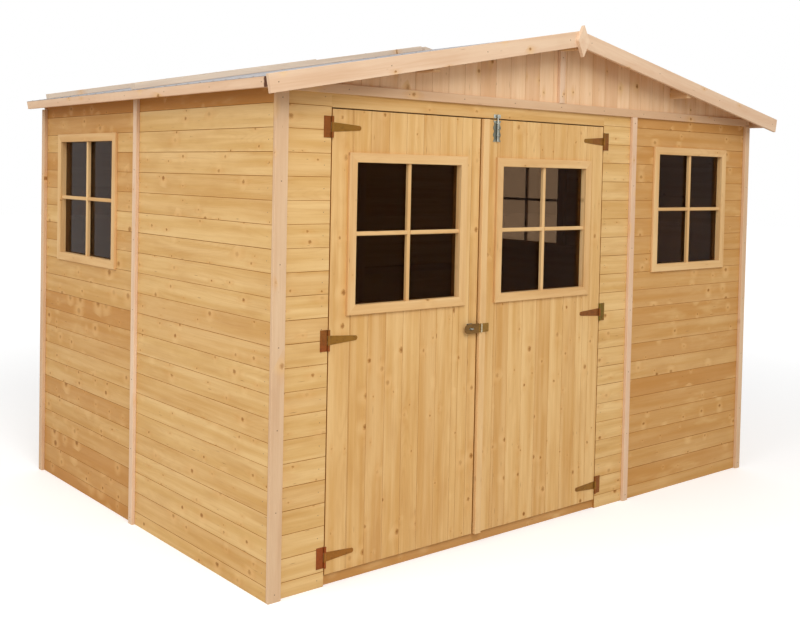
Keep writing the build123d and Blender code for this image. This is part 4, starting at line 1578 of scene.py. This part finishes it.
# %% The keeper above the doorway
above_doorway, below_rod_end = 0.002, 0.001
keeper_corner, keeper_guide_height, keeper_screw_across = 0.004, 0.012, 0.016
left, _, right, rod_end = on_wall("front", "bolt_keeper")
keeper_foot, keeper_top = doorway_head + above_doorway, rod_end - below_rod_end
keeper_middle = (keeper_foot + keeper_top) / 2
keeper = Metalwork("bolt_keeper_bent")
keeper_outline = rounded(left, keeper_foot, right, keeper_top, keeper_corner)
keeper.plate(front, keeper_outline, 0.0, sheet_thickness)
guide(keeper, bolt_x, keeper_middle, keeper_guide_height)
end_points = [(bolt_x, y, rod_out) for y in (doorway_head, rod_end - rod_tip, rod_end)]
keeper.sweep(front, end_points, circle(rod_radius, 16), [1.0, 1.0, 0.6])
for side in (-1, 1):
    x = bolt_x + side * keeper_screw_across
    keeper.head(front, x, keeper_middle, sheet_thickness, small_screw)
keeper.make("shed", bright_zinc, "zinc_bolt", ["bolt_keeper"])

# %% [markdown]
# ## Nails
# Trims, battens and rails are nailed every 30 cm or so, and each wall board has a nail near its ends,
# over a post. The heads are small, but at arm's length they are what makes joinery look made. Dots in
# the colour would be cheaper, but a real dome catches the light and keeps in step with the timber it
# holds. Where a strip covers a board's end, its nail is left out.

# %% Nails in trims and battens
nail_radius, nail_pace, nail_sides = 0.0024, 0.30, 8
nail_margin = 0.03  # from the end of a timber to its last nail
narrowest_nailed = 0.03  # a timber that is narrower gets no nails
least_strip, most_strip = 0.008, 0.030  # how far a strip over the boards stands out from them
nails = Metalwork("nail_heads")


def nail_row(place, start, end, across, out, upright, pace=nail_pace, radius=nail_radius):
    """Evenly spaced nails along a line of a drawing, kept clear of its ends."""
    count = max(1, round((end - start) / pace))
    for i in range(count + 1):
        along = start + nail_margin + (end - start - 2 * nail_margin) * i / count
        x, y = (across, along) if upright else (along, across)
        nails.head(place, x, y, out, radius, nail_sides)


def proud_of(side, box):
    """How far a box stands out from the face of a wall."""
    back = wall_matrix(side).inverted()
    return max((back @ corner).z for corner in box)


covered = {side: [] for side in walls}
for node in ("front_corner_trims", "back_corner_trims", "cover_battens", "gable_rails"):
    for box in solids(node):
        for side in walls:
            out = proud_of(side, box)
            l, b, r, t = drawn(side, box)
            if least_strip < out < most_strip and min(r - l, t - b) > narrowest_nailed:
                covered[side].append((l, b, r, t))
                upright = t - b > r - l
                line = (b, t, (l + r) / 2) if upright else (l, r, (b + t) / 2)
                nail_row(wall_matrix(side), *line, out, upright)
print("strips over the boards:", {side: len(found) for side, found in covered.items()})

# %% Nails in the wall boards
board_nail, nail_room = 0.0018, 0.004
for place_name, (side, body) in windows.items():
    if body == "shed":
        covered[side].append(on_wall(side, f"{place_name}_window_frame"))
for node, (side, *_) in wall_panels.items():
    for box in solids(node):
        left, bottom, right, top = drawn(side, box)
        marks = course_marks(bottom, top)
        for x in (left + nail_margin, right - nail_margin):
            over = [(b, t) for l, b, r, t in covered[side] if l - nail_room < x < r + nail_room]
            for low, high in zip(marks, marks[1:]):
                y = (low + high) / 2
                hidden = any(b < y < t for b, t in over)
                if not hidden and high - low > narrowest_nailed:
                    nails.head(wall_matrix(side), x, y, 0.0, board_nail, nail_sides)
print("corners of nail heads so far:", len(nails.work.verts))

# %% Nails in the roof's edges, its battens and the felt
felt_nail, felt_nail_margin = 0.0042, 0.02
bargeboard_pace, fascia_pace, felt_pace = 0.50, 0.40, 0.10
bargeboard_start, bargeboard_line = 0.05, -0.026  # its nails, from the ridge and below the slope
batten_start = 0.03
front_face = -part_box("left_bargeboard")[0].y
batten_top = felt_thickness + batten_thickness
eave = slope_end(eave_x)
for side, wall in ((-1, "left"), (1, "right")):
    row = (bargeboard_start, eave, bargeboard_line)
    nail_row(slope_from_front(side), *row, front_face, False, bargeboard_pace)
    down, off, forward = slope_axes(side)
    on_top = drawing(down, -forward, off, ridge_point)
    for low, high in solids("roof_battens"):
        if slope_side((low, high)) == side:
            middle_y = (low.y + high.y) / 2
            row = (batten_start, eave - felt_nail_margin, middle_y)
            nail_row(on_top, *row, batten_top, False)
    for edge, lift in ((eave, sheet), (ridge_strip, 2 * sheet)):
        row = (felt_low.y, felt_high.y, edge - felt_nail_margin)
        nail_row(on_top, *row, lift, True, felt_pace, felt_nail)
    l, b, r, t = on_wall(wall, "eave_fascias")
    row = (l, r, (b + t) / 2)
    nail_row(wall_matrix(wall), *row, eave_x - half_width, False, fascia_pace)
nails.make("shed", nail_steel, "bronzed_hinges")

# %% [markdown]
# ## The felt's folded corner
# At the front of each eave the felt is folded down into the gap behind the bargeboard, where it shows
# as a small dark tab. Cloth could be simulated for it, but so small a fold is two strips, one over
# the other, each bent a little on its way down.

# %% Felt tabs
tar = felt_finish("felt_underside", srgb(58, 30, 14), srgb(120, 70, 38), worn_share=0.08)
gap_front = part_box("left_bargeboard")[1].y
tab_bends = (0.0, 0.002, 0.0, 0.0015, -0.0005)
tab_step, tab_half_thickness, tab_start = 0.0095, 0.001, 0.001
tab_layers = (  # how far behind the bargeboard, how far out from the eave, and half the width
    (0.0072, 0.0025, 0.0070),
    (0.0130, 0.0050, 0.0034),
)
tabs = Metalwork("felt_tabs")
for side in (-1, 1):
    hang = drawing((0, 0, -1), (0, 1, 0), (side, 0, 0))
    for behind, out, half_tab in tab_layers:
        points = [
            (-eave_z + tab_start + tab_step * i, gap_front + behind, eave_x + out + bend)
            for i, bend in enumerate(tab_bends)
        ]
        tab = [
            (x * half_tab, y * tab_half_thickness) for x, y in ((-1, -1), (1, -1), (1, 1), (-1, 1))
        ]
        tabs.sweep(hang, points, tab)
tabs.make("shed", tar, "roof_felt")
